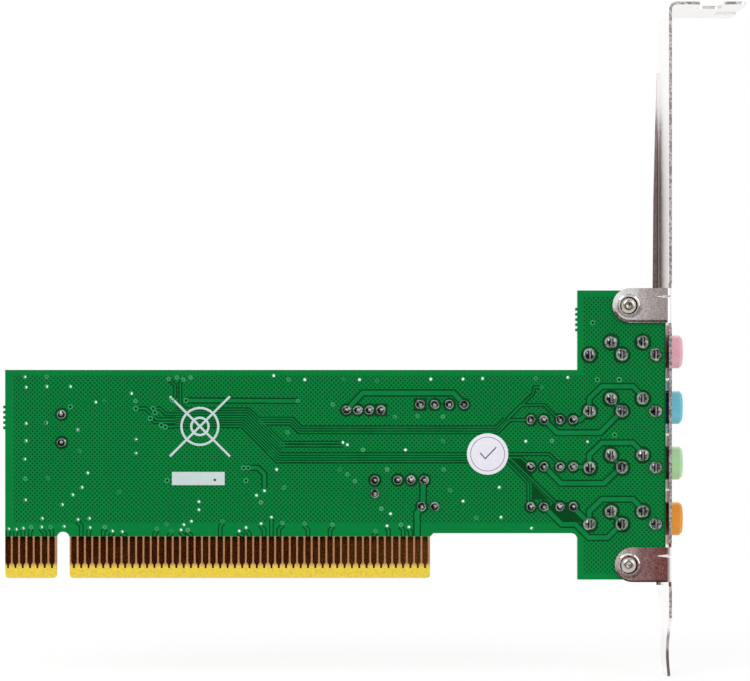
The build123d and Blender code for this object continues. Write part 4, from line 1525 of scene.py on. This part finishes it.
@dataclass
class SolderWork:
    """The soldered joints with their wetted crowns, pads and bare rings."""

    rings: int = 20
    segments: int = 44
    lean: Span = (0.04, 0.16)
    wave: Span = (0.02, 0.06)
    lobes: tuple[int, int] = (2, 5)
    dome_power: float = 0.72
    edge_power: int = 4
    seam_power: int = 6
    height_share: float = 0.97
    pin: float = 0.3
    blade: Span = (0.15, 0.68)
    tip_rise: float = 0.14
    # Dark layer of flux film and painted shade: cleared at the tip, in seams and a ring, thinner on one side
    # as a painted highlight.
    tip_flux_and_shade: float = 0.75
    seam: Span = (0.24, 0.11)
    flux_and_shade_ring: Span = (0.38, 0.4)
    shade_side: Span = (0.76, 0.24)
    shade_turn: Span = (1.2, 4.6)
    blade_flux_and_shade: Span = (0.78, 1.1)
    pin_flux_and_shade: Span = (1.1, 1.5)
    sharp: float = radians(60)
    halo: float = 0.27
    halo_start: float = 0.8
    halo_segments: int = 28
    ground_sleeves_from: float = 75.0
    ground_leads: tuple[Spot, ...] = ((27.5, 14.75), (37.9, 12.5))
    square_pads: tuple[Spot, ...] = ((28.54, 29.25), (35.33, 30.2))
    square_half: float = 0.85
    square_rise: float = 0.12
    same_place: float = 0.4
    seed: int = 11

    def crown(
            self, shell: Shell, low: np.ndarray, high: np.ndarray, bladed: bool,
            draw: np.random.Generator) -> None:
        """Adds one joint.

        Its height falls as a power of one less the squared distance from the middle, with a slight lean and
        a wavy foot, and its foot closes below at the board. The lead's tip is a plateau, round for a pin and
        narrow for a blade. A dark layer, partly flux film and partly painted shade, lies in a ring round the
        tip and thins towards one side, which is left as a painted highlight; it also fills the seams beside a
        blade as painted shade.

        Args:
            shell: The mesh in the making.
            low: The lowest corner of the joint's solid.
            high: Its highest corner.
            bladed: Whether the lead is a blade.
            draw: The source of the differences between joints.
        """
        half = (high - low) / 2
        turn, lean, wave = draw.uniform(0, 2 * pi), draw.uniform(*self.lean), draw.uniform(*self.wave)
        share, angle = disc_grid(self.rings, self.segments)
        few, many = self.lobes
        foot = half[0] * (1 + wave * np.sin(few * angle + turn) + wave / 2 * np.sin(many * angle - turn))
        rise = 2 * half[1] * (1 - share ** 2) ** self.dome_power * (1 + lean * share * np.cos(angle - turn))
        x, z = foot * share * np.cos(angle), foot * share * np.sin(angle)
        (thick, long), power = self.blade, self.edge_power
        reach = (x / thick) ** power + (z / long) ** power if bladed else (share / self.pin) ** power
        tip = np.exp(-reach) * np.ones_like(angle)
        # Ring of flux film and painted shade, thinner on one side as a painted highlight.
        middle, width = self.flux_and_shade_ring
        least, more = self.shade_side
        thinned = least + more * np.cos(angle - draw.uniform(*self.shade_turn))
        ring = np.exp(-((share - middle) / width) ** power) * thinned
        # Painted shade in the seams beside a blade.
        place, spread = self.seam
        beside, along = (np.abs(x) - place) / spread, z / long
        seam = np.exp(-beside ** power - along ** self.seam_power) * bladed
        strength = draw.uniform(*(self.blade_flux_and_shade if bladed else self.pin_flux_and_shade))
        flux_and_shade = np.clip(ring * strength + seam - tip * self.tip_flux_and_shade, 0, 1)
        height = (rise + self.tip_rise * tip) * self.height_share
        add_dome(shell, Side.SOLDER, middle_of(low, high), x, height, z, value=flux_and_shade)

    def near(self, spot: Spot, spots: Iterable[Spot]) -> bool:
        """Whether a place is at one of the given ones."""
        return any(max(abs(spot[0] - x), abs(spot[1] - z)) < self.same_place for x, z in spots)

    def surround(self, halos: Shell, pads: Shell, low: np.ndarray, high: np.ndarray, level: float) -> None:
        """Adds the bare ring round a joint, or a square pad and its bare border, but nothing on a pour.

        Args:
            halos: The mesh of the bare laminate in the making.
            pads: The mesh of the square pads in the making.
            low: The lowest corner of the joint's solid.
            high: Its highest corner.
            level: Height of the bare laminate above the face.
        """
        x, z = middle_of(low, high)
        if x > self.ground_sleeves_from or self.near((x, z), self.ground_leads):
            return
        if self.near((x, z), self.square_pads):
            border = (halos, self.square_half + self.halo, level)
            for shell, half, top in (border, (pads, self.square_half, self.square_rise)):
                add_plate(shell, Side.SOLDER, rectangle(x - half, x + half, z - half, z + half), 0, top)
            return
        radius = (high[0] - low[0]) / 2
        ring = washer(radius * self.halo_start, radius + self.halo, 0, level)
        add_turned(halos, Side.SOLDER, (x, z), ring, self.halo_segments)

    def build(self) -> None:
        """Makes the crowns of both sizes, the square pads and the bare rings round the joints."""
        draw = np.random.default_rng(self.seed)
        halos, pads, number = Shell(), Shell(), 0
        kinds = (("jack_solder_joints", "socket_joints", True), ("lead_solder_joints", "lead_joints", False))
        for node, name, bladed in kinds:
            crowns = Shell()
            for low, high in solids_of(node):
                number += 1
                self.crown(crowns, low, high, bladed, draw)
                self.surround(halos, pads, low, high, Level.RING.value + Level.nudge(number))
            piece(name, crowns, SOLDER, [node], self.sharp, SOLDER.attribute)
        piece("joint_rings", halos, MASK_GAP)
        piece("square_pads", pads, SOLDER)


@dataclass
class SlotBracket:
    """The folded steel bracket and the two screws that hold it to the board."""

    eased: float = 0.12
    shank_radius: float = 1.5
    shank_taper: float = 0.5
    shank_sharp: float = radians(50)
    thread_pitch: float = 0.6
    thread_depth: float = 0.2
    thread_sides: int = 48
    steps_a_turn: int = 10
    tip_radius: float = 0.85
    dimple: tuple[Spot, ...] = ((0.42, 0.0), (0.294, 0.06), (0.0, 0.08))
    head_rings: int = 26
    head_segments: int = 72
    head_sharp: float = radians(40)
    head_power: int = 5
    recess_half: float = 0.32
    recess_wall: float = 0.08
    recess_reach: float = 1.45
    recess_depth: float = 0.9

    def thread(self, shell: Shell, middle: Spot, tip: float) -> None:
        """Adds a threaded shank.

        The radius at an angle and a depth is the crest less the thread's depth times a triangle wave of the
        depth over the pitch less the angle over a full turn. It shrinks towards the dimpled tip.

        Args:
            shell: The mesh in the making.
            middle: The axis in X and Z.
            tip: Height of the tip above the solder side.
        """
        angle = np.linspace(0, 2 * pi, self.thread_sides, endpoint=False)[None, :]
        start = -2 * BOARD.half
        height = np.linspace(start, tip, int(tip / self.thread_pitch * self.steps_a_turn))[:, None]
        phase = height / self.thread_pitch - angle / (2 * pi)
        ridge = np.abs(2 * (phase - np.floor(phase)) - 1)
        shrink = np.clip((height - tip + self.shank_taper) / self.shank_taper, 0, 1)
        crest = self.shank_radius - self.thread_depth * ridge * (1 - shrink)
        reach = crest * (1 - shrink) + self.tip_radius * shrink
        dimple = np.array(self.dimple)
        reach = np.vstack((0 * angle, reach, dimple[:, :1] + 0 * angle))
        height = np.vstack(([[start]], height, tip - dimple[:, 1:]))
        x, z = middle[0] + reach * np.cos(angle), middle[1] + reach * np.sin(angle)
        quads = lattice(len(height), self.thread_sides, columns_close=True)
        shell.add(BOARD.lift(Side.SOLDER, x, height, z), quads)

    def head(self, shell: Shell, middle: Spot, radius: float, height: float) -> None:
        """Adds a pan head.

        Its height is the root of one less a power of the distance from the axis, less a cross recess whose
        depth falls towards the ends of its two arms, and its foot closes on the board.

        Args:
            shell: The mesh in the making.
            middle: The axis in X and Z.
            radius: The head's radius.
            height: The head's height.
        """
        share, angle = disc_grid(self.head_rings, self.head_segments)
        x, z = radius * share * np.cos(angle), radius * share * np.sin(angle)
        dome = height * (1 - share ** self.head_power) ** 0.5
        arms = np.minimum(np.abs(x), np.abs(z))
        wall = np.clip((self.recess_half - arms) / self.recess_wall, 0, 1)
        fall = np.clip(1 - (share * radius / self.recess_reach) ** 2, 0, 1)
        add_dome(shell, Side.PARTS, middle, x, dome - self.recess_depth * wall * fall, z)

    def build(self) -> None:
        """Makes the eased bracket and the screws."""
        eased_copy("bracket", "slot_bracket", STEEL, self.eased)
        shanks, heads, node = Shell(), Shell(), "bracket_screws"
        for low, high in solids_of(node):
            middle = middle_of(low, high)
            self.thread(shanks, middle, -low[1] - BOARD.half)
            self.head(heads, middle, (high[0] - low[0]) / 2, high[1] - BOARD.half)
        piece("screw_shanks", shanks, SCREW, [node], self.shank_sharp)
        piece("screw_heads", heads, SCREW, [node], self.head_sharp)


@dataclass
class Sockets:
    """The four coloured sockets and the contacts inside them."""

    eased: float = 0.1
    colours: tuple[tuple[str, Finish], ...] = (
        ("microphone", PINK), ("line_in", BLUE), ("line_out", GREEN), ("rear_out", ORANGE))

    def build(self) -> None:
        """Makes the eased housings and dresses the contacts."""
        for name, finish in self.colours:
            eased_copy(f"{name}_jack_housing", f"{name}_socket", finish, self.eased)
            dress_node(f"{name}_jack_contacts", TIN)


@dataclass
class Cans:
    """The electrolytic capacitors: sleeve with its crimp and polarity band, and scored aluminium top."""

    names: tuple[str, ...] = (
        *(f"coupling_capacitor_{number}" for number in range(1, 7)), "input_capacitor", "output_capacitor")
    sleeve_rows: int = 24
    sleeve_roll: float = 0.55
    roll_rows: int = 7
    inner_edge: float = 1.6
    inner_depth: Span = (0.1, 0.3)
    crimp_height: float = 1.5
    crimp_depth: float = 0.22
    crimp_half: float = 0.5
    band_half: float = 0.42
    segments: int = 48
    sharp: float = radians(50)
    top_rings: int = 16
    top_segments: int = 64
    top_sink: float = 0.12
    top_foot: float = 0.32
    score_half: float = 0.12
    score_depth: float = 0.14
    score_end: float = 0.86

    def sleeve(self, shell: Shell, middle: Spot, radius: float, height: float) -> None:
        """Adds a sleeve.

        Its radius is constant but for a crimp, a bell curve of the height, and it rolls over the top edge
        by a quarter circle onto the aluminium.

        Args:
            shell: The mesh in the making.
            middle: The axis in X and Z.
            radius: The can's radius.
            height: The can's height.
        """
        roll = self.sleeve_roll
        rise = np.linspace(0, height - roll, self.sleeve_rows)
        dip = self.crimp_depth * np.exp(-((rise - self.crimp_height) / self.crimp_half) ** 2)
        turn = np.linspace(0, pi / 2, self.roll_rows)[1:]
        edge_depth, middle_depth = self.inner_depth
        inner = [(radius - roll * self.inner_edge, height - edge_depth), (0, height - middle_depth)]
        wall = np.column_stack((radius - dip, rise))
        edge = np.column_stack((radius - roll + roll * np.cos(turn), height - roll + roll * np.sin(turn)))

        def band(angle: np.ndarray, place: np.ndarray) -> np.ndarray:
            """1 within the polarity band and 0 outside it."""
            return (np.abs(angle - pi) < self.band_half).astype(float) + 0 * place

        add_turned(shell, Side.PARTS, middle, [(0, 0), *wall, *edge, *inner], self.segments, band)

    def top(self, shell: Shell, middle: Spot, radius: float, height: float) -> None:
        """Adds a top disc whose height dips along a cross of two scored lines.

        Args:
            shell: The mesh in the making.
            middle: The axis in X and Z.
            radius: The disc's radius.
            height: The can's height.
        """
        share, angle = disc_grid(self.top_rings, self.top_segments)
        x, z = radius * share * np.cos(angle), radius * share * np.sin(angle)
        score = np.clip(1 - np.minimum(np.abs(x), np.abs(z)) / self.score_half, 0, 1)
        rise = height - self.top_sink - self.score_depth * score * (share < self.score_end)
        add_dome(shell, Side.PARTS, middle, x, rise, z, height - self.top_foot)

    def build(self) -> None:
        """Makes a sleeve and a top for each capacitor."""
        tops = Shell()
        for name in self.names:
            low, high = box_of(name)
            middle, radius, height = middle_of(low, high), (high[0] - low[0]) / 2, high[1] - BOARD.half
            shell = Shell()
            self.sleeve(shell, middle, radius, height)
            piece(f"{name}_sleeve", shell, SLEEVE, [name], self.sharp, SLEEVE.attribute)
            self.top(tops, middle, radius - self.sleeve_roll, height)
        piece("capacitor_tops", tops, FOIL)
        dress_node("capacitor_leads", TIN)


@dataclass
class PartsSide:
    """The parts on the component side with their pads, printed outlines and tracks."""

    moulding_edge: float = 0.08
    can_edge: float = 0.25
    can_steps: int = 4
    flange_edge: float = 0.1
    ceramic_edge: float = 0.06
    glass_edge: float = 0.05
    pad_margin: float = 0.12
    line: float = 0.18
    ring_gap: float = 0.05
    ring_sides: int = 40
    framed: tuple[tuple[str, float], ...] = (
        ("crystal_base", 0.5), ("small_header_shroud", 0.35), ("large_header_shroud", 0.35))
    fan_lines: int = 24
    fan_pitch: float = 0.8
    fan_width: float = 0.2
    fan_gap: float = 0.16
    fan_top: float = 13.9
    fan_bend: float = 11.2
    fan_slope: float = 0.35
    fan_low: float = 8.2
    fan_foot: float = 7.0
    fan_reach: float = 0.65
    lanes: tuple[Track, ...] = (
        Track(((7.8, 25.3), (46.0, 25.6)), 0.22, 5, 0.5),
        Track(((7.8, 20.6), (20.0, 20.6), (21.0, 21.0), (24.0, 21.0)), 0.22, 4, 0.5),
        Track(((-15.8, 22.5), (-20.0, 22.5), (-22.0, 24.5), (-24.0, 24.5)), 0.22, 3, 0.5),
        Track(((46.0, 33.2), (62.0, 33.2), (64.0, 35.2)), 0.6, 2, 1.2))

    def solids(self) -> None:
        """Eases the mouldings and covers, and dresses the leads and chip parts."""
        edge = self.moulding_edge
        eased_copy("audio_controller", "audio_controller_case", EPOXY, edge)
        eased_copy("regulator_body", "regulator_case", EPOXY, edge)
        eased_copy("crystal_can", "crystal_cover", NICKEL, self.can_edge, self.can_steps)
        eased_copy("crystal_base", "crystal_flange", NICKEL, self.flange_edge)
        for size in ("small", "large"):
            eased_copy(f"{size}_header_shroud", f"{size}_header_moulding", NYLON, edge)
            dress_node(f"{size}_header_pins", TIN)
        eased_copy("chip_capacitors", "chip_capacitor_bodies", CERAMIC, self.ceramic_edge)
        eased_copy("chip_resistors", "chip_resistor_bodies", GLASS, self.glass_edge)
        for node in ("crystal_leads", "regulator_leads", "audio_controller_leads", "chip_end_caps"):
            dress_node(node, TIN)

    def pads(self) -> None:
        """Makes a tinned pad below each gull-wing lead and chip end."""
        pads = Shell()
        for node in ("audio_controller_leads", "chip_end_caps"):
            for low, high in solids_of(node):
                add_plate(pads, Side.PARTS, around(low, high, self.pad_margin), 0, Level.PAD.value)
        piece("surface_pads", pads, TIN)

    def outlines(self) -> None:
        """Makes the printed outlines: a ring round each can, and four lines round the framed parts."""
        ink = Shell()
        for name in Cans.names:
            low, high = box_of(name)
            radius = (high[0] - low[0]) / 2 + self.ring_gap
            ring = washer(radius, radius + self.line, 0, Level.INK.value)
            add_turned(ink, Side.PARTS, middle_of(low, high), ring, self.ring_sides)
        for name, margin in self.framed:
            corners = around(*box_of(name), margin)
            for start, end in zip(corners, corners[1:] + corners[:1]):
                add_band(ink, Side.PARTS, np.array((start, end)), self.line, 0, Level.INK.value)
        piece("parts_side_ink", ink, SILK)

    def tracks(self) -> None:
        """Makes the fan from the controller to the contacts and the lanes towards the sockets."""
        copper, gaps = Shell(), Shell()
        middle = middle_of(*box_of("audio_controller_leads"))[0]
        row = SolderSideTracks()
        for line in range(self.fan_lines):
            place = line - (self.fan_lines - 1) / 2
            start = middle + place * self.fan_pitch
            foot = row.contact_near(middle + place * row.contact_pitch)
            bend = max(self.fan_bend - abs(start - foot) * self.fan_slope, self.fan_low)
            corners = ((start, self.fan_top), (start, self.fan_bend), (foot, bend), (foot, self.fan_foot))
            track = Track(corners, self.fan_width, gap=self.fan_gap)
            if track.clear_of(Vias.drilled, self.fan_reach):
                track.lay(Side.PARTS, copper, gaps, line)
        for number, track in enumerate(self.lanes):
            track.lay(Side.PARTS, copper, gaps, number)
        piece("parts_side_tracks", copper, MASK_TRACK)
        piece("parts_side_gaps", gaps, MASK_GAP)

    def build(self) -> None:
        """Makes everything on the component side."""
        self.solids()
        self.pads()
        self.outlines()
        self.tracks()


@dataclass
class Markings:
    """Plain marks of the solder side: a blank block, an alignment target, a pale dot and a round sticker."""

    block: tuple[float, float, float, float] = (-7.75, 1.4, 16.2, 18.5)
    block_rise: float = 0.045
    block_dot: Spot = (-0.3, 17.1)
    block_dot_radius: float = 0.22
    block_dot_rise: Span = (0.04, 0.055)
    resin_dot: Spot = (64.4, 23.75)
    resin_radius: float = 0.24
    resin_rise: float = 0.05
    resin_crown: float = 0.01
    dot_sides: int = 12
    target: Spot = (-2.9, 26.4)
    target_reach: float = 5.2
    target_ring: float = 3.4
    target_sides: int = 48
    target_foot: float = 0.02
    ring_rise: float = 0.056
    line_rise: Span = (0.048, 0.052)
    stroke: float = 0.4
    sticker_sides: int = 72
    sticker_steps: int = 5
    mark_rise: float = 0.008
    mark_ring: Span = (2.9, 3.0)
    mark_sides: int = 64
    tick: tuple[Spot, ...] = ((-1.3, 0.2), (-0.4, -0.8), (1.5, 1.2))
    tick_width: float = 0.34

    def prints(self) -> None:
        """Makes the block with its dot, the pale dot and the target."""
        ink, dots, side = Shell(), Shell(), Side.SOLDER
        add_plate(ink, side, rectangle(*self.block), 0, self.block_rise)
        dot = plug(self.block_dot_radius, *self.block_dot_rise)
        add_turned(dots, side, self.block_dot, dot, self.dot_sides)
        resin = plug(self.resin_radius, 0, self.resin_rise, self.resin_crown)
        add_turned(ink, side, self.resin_dot, resin, self.dot_sides)
        x, z = self.target
        reach = self.target_reach
        for slope, rise in zip((-reach, reach), self.line_rise):
            path = np.array(((x - reach, z - slope), (x + reach, z + slope)))
            add_band(ink, side, path, self.stroke, self.target_foot, rise)
        for radius in (self.target_ring, self.target_ring / 2):
            ring = washer(radius - self.stroke, radius, self.target_foot, self.ring_rise)
            add_turned(ink, side, self.target, ring, self.target_sides)
        piece("solder_side_ink", ink, SILK)
        piece("ink_block_dot", dots, MASK_GAP)

    def sticker(self) -> None:
        """Makes the paper disc, whose rim is rounded by a quarter circle, with a plain ring and tick."""
        low, high = box_of("inspection_sticker")
        middle, radius, half = middle_of(low, high), (high[0] - low[0]) / 2, (high[1] - low[1]) / 2
        turn = np.linspace(0, pi / 2, self.sticker_steps)
        rim = np.column_stack((radius - half + half * np.cos(turn), half + half * np.sin(turn)))
        paper, ink, top = Shell(), Shell(), 2 * half + self.mark_rise
        section = [(0, 0), (radius, 0), *rim, (0, 2 * half)]
        add_turned(paper, Side.SOLDER, middle, section, self.sticker_sides)
        add_turned(ink, Side.SOLDER, middle, washer(*self.mark_ring, 0, top), self.mark_sides)
        add_band(ink, Side.SOLDER, np.array(self.tick) + middle, self.tick_width, half, top)
        piece("sticker", paper, PAPER, ["inspection_sticker"])
        piece("sticker_mark", ink, INK)

    def build(self) -> None:
        """Makes the prints and the sticker."""
        self.prints()
        self.sticker()


@dataclass(frozen=True)
class Lamp:
    """A square soft lamp: its place, width and power."""

    name: str
    place: Triple
    width: float
    watts: float


class Tone(Enum):
    """Colours of the screens, as linear light."""

    DARK = (0.027, 0.004, 0.002)
    BROWN = (0.08, 0.05, 0.046)
    DIM = (0.09, 0.07, 0.066)
    RED = (0.18, 0.042, 0.035)
    DULL = (0.16, 0.13, 0.125)
    WARM = (0.28, 0.232, 0.224)
    MIDDLE = (0.37, 0.325, 0.32)
    GREY = (0.4, 0.37, 0.36)
    PALE = (0.5, 0.46, 0.45)


@dataclass(frozen=True)
class Screen:
    """A plain screen behind the camera: its left, right, low and high edges and its tone."""

    name: str
    edges: tuple[float, float, float, float]
    tone: Tone


@dataclass
class Studio:
    """Camera, floor, world, soft lamps and the plain dark and grey screens that flat metal reflects."""

    camera_place: Triple = (27.5, -500.8, 41.31)
    lens: float = 138.24
    sensor: float = 36.0
    ambient: float = 0.55
    floor_half: float = 2500.0
    floor_front: float = -70.0
    floor_glow: float = 0.8
    shadow_reach: Span = (120.0, 420.0)
    floor_colour: Colour = srgb(244, 244, 244)
    aim: Triple = (27.0, 0.0, 30.0)
    lamps: tuple[Lamp, ...] = (
        Lamp("key", (-380.0, -620.0, 560.0), 600.0, 4.4),
        Lamp("fill", (560.0, -520.0, 300.0), 600.0, 1.9),
        Lamp("back", (0.0, 620.0, 520.0), 700.0, 3.2))
    screens: tuple[Screen, ...] = (
        Screen("far_left", (-2500, -300, -1500, 1800), Tone.GREY),
        Screen("main_left", (-300, -80, -1500, 1800), Tone.DARK),
        Screen("main_low", (-80, 110, -1500, 60), Tone.DARK),
        Screen("main_right", (40, 110, 60, 230), Tone.DARK),
        Screen("main_top", (-80, 110, 230, 1800), Tone.DARK),
        Screen("lip_low", (-80, 40, 60, 150), Tone.WARM),
        Screen("lip_high", (-80, 40, 150, 165), Tone.PALE),
        Screen("tab_red", (153, 240, -150, -40), Tone.RED),
        Screen("tab_above", (110, 240, -40, 22), Tone.BROWN),
        Screen("tab_below", (110, 240, -1500, -150), Tone.BROWN),
        Screen("low_right", (240, 330, -1500, 22), Tone.DIM),
        Screen("tab_grey", (163, 520, 22, 84), Tone.MIDDLE),
        Screen("high", (110, 520, 84, 170), Tone.DULL),
        Screen("far_low_right", (330, 2500, -1500, 22), Tone.GREY),
        Screen("far_right", (520, 2500, 22, 1800), Tone.GREY),
        Screen("top", (110, 520, 520, 1800), Tone.DIM))
    screen_y: float = -1000.0
    clip: Span = (0.01, 100.0)

    @staticmethod
    def seen(wiring: Wiring) -> Value:
        """Tells the rays that show the background itself, straight, mirrored or through glass.

        Args:
            wiring: The shader in the making.

        Returns:
            1 for those rays and 0 for the others.
        """
        path = wiring.node("ShaderNodeLightPath").outputs
        camera, mirrored, through = (Value(wiring, path[f"Is {kind} Ray"]) for kind in RAYS)
        return camera.at_least(mirrored).at_least(through)

    @staticmethod
    def close(
            wiring: Wiring, output: str, share: Operand, first: bpy.types.Node,
            second: bpy.types.Node) -> None:
        """Mixes two shaders and joins the mix to the output.

        Args:
            wiring: The shader in the making.
            output: Blender's name of the output node.
            share: 0 for the first and 1 for the second.
            first: A shader node.
            second: Another one.
        """
        inputs = {0: share, 1: first.outputs[0], 2: second.outputs[0]}
        mixed = wiring.node("ShaderNodeMixShader", inputs=inputs)
        wiring.node(output, inputs={"Surface": mixed.outputs[0]})

    def world(self) -> None:
        """Makes a world that is white to look at and a plain soft light on the card."""
        world = bpy.data.worlds.new("studio")
        bpy.context.scene.world = world
        world.use_nodes = True
        wiring = Wiring(world.node_tree)
        soft = wiring.node("ShaderNodeBackground", inputs={"Color": WHITE, "Strength": self.ambient})
        white = wiring.node("ShaderNodeBackground", inputs={"Color": WHITE, "Strength": 1.0})
        self.close(wiring, "ShaderNodeOutputWorld", self.seen(wiring), soft, white)

    @staticmethod
    def sheet(name: str, paint: str, corners: np.ndarray) -> tuple[bpy.types.Object, Wiring]:
        """Makes a flat four-sided stage object with a material of its own.

        Args:
            name: The object's name.
            paint: The material's name.
            corners: The four corners in millimetres.

        Returns:
            The object and the wiring of its material.
        """
        made = add_object(name, mesh_of(name, corners, [[0, 1, 2, 3]]))
        material = bpy.data.materials.new(paint)
        material.use_nodes = True
        made.data.materials.append(material)
        return made, Wiring(material.node_tree)

    def floor(self) -> None:
        """Makes the pale floor below the lowest point, which keeps the card's soft shadow."""
        level, half, front = CAD_BOX[0].z / MM, self.floor_half, self.floor_front
        corners = np.array([(x, y, level) for x, y in rectangle(-half, half, front, half)])
        _, wiring = self.sheet("floor", "floor_white", corners)
        matt = wiring.node("ShaderNodeBsdfDiffuse", inputs={"Color": self.floor_colour})
        glow = wiring.node("ShaderNodeEmission", inputs={"Color": WHITE, "Strength": 1.0})
        ends = {0: wiring.node("ShaderNodeTexCoord").outputs["Object"], 1: tuple(Vector(self.aim) * MM)}
        apart = wiring.node("ShaderNodeVectorMath", {"operation": "DISTANCE"}, ends)
        fade = Value(wiring, apart.outputs["Value"]).step(*(reach * MM for reach in self.shadow_reach))
        share = self.seen(wiring) * (self.floor_glow + fade * (1 - self.floor_glow))
        self.close(wiring, "ShaderNodeOutputMaterial", share, matt, glow)

    def backdrop(self) -> None:
        """Makes the plain screens behind the camera, which only mirrored rays meet."""
        for screen in self.screens:
            corners = np.array([(x, self.screen_y, z) for x, z in rectangle(*screen.edges)])
            made, wiring = self.sheet(f"{screen.name}_screen", f"{screen.name}_screen_paint", corners)
            light = {"Color": (*screen.tone.value, 1.0), "Strength": 1.0}
            glow = wiring.node("ShaderNodeEmission", inputs=light)
            wiring.node("ShaderNodeOutputMaterial", inputs={"Surface": glow.outputs[0]})
            made.visible_camera = made.visible_diffuse = made.visible_shadow = False

    def light(self) -> None:
        """Makes the lamps, each turned towards the card."""
        for lamp in self.lamps:
            data = bpy.data.lights.new(lamp.name, "AREA")
            data.shape, data.size, data.energy = "SQUARE", lamp.width * MM, lamp.watts
            made = add_object(lamp.name, data)
            made.location = Vector(lamp.place) * MM
            made.rotation_euler = (Vector(self.aim) - Vector(lamp.place)).to_track_quat("-Z", "Y").to_euler()
            made.visible_camera = False

    def camera(self) -> None:
        """Makes the camera level with the card and square to its solder side."""
        data = bpy.data.cameras.new("camera")
        data.lens, data.sensor_width = self.lens, self.sensor
        data.clip_start, data.clip_end = self.clip
        made = add_object("camera", data)
        made.location = Vector(self.camera_place) * MM
        made.rotation_euler = (pi / 2, 0, 0)
        bpy.context.scene.camera = made
        bpy.context.scene.view_settings.view_transform = "Standard"

    def build(self) -> None:
        """Makes the whole studio."""
        self.world()
        self.floor()
        self.backdrop()
        self.light()
        self.camera()


def main() -> None:
    """Builds the card's looks and the studio."""
    logging.basicConfig(level=logging.INFO, format="%(name)s %(message)s")
    vias = Vias()
    vias.board()
    vias.build()
    SolderSideTracks().build(vias.every())
    EdgeContacts().build()
    SolderWork().build()
    SlotBracket().build()
    Sockets().build()
    Cans().build()
    PartsSide().build()
    Markings().build()
    Studio().build()


if __name__ == "__main__":
    main()
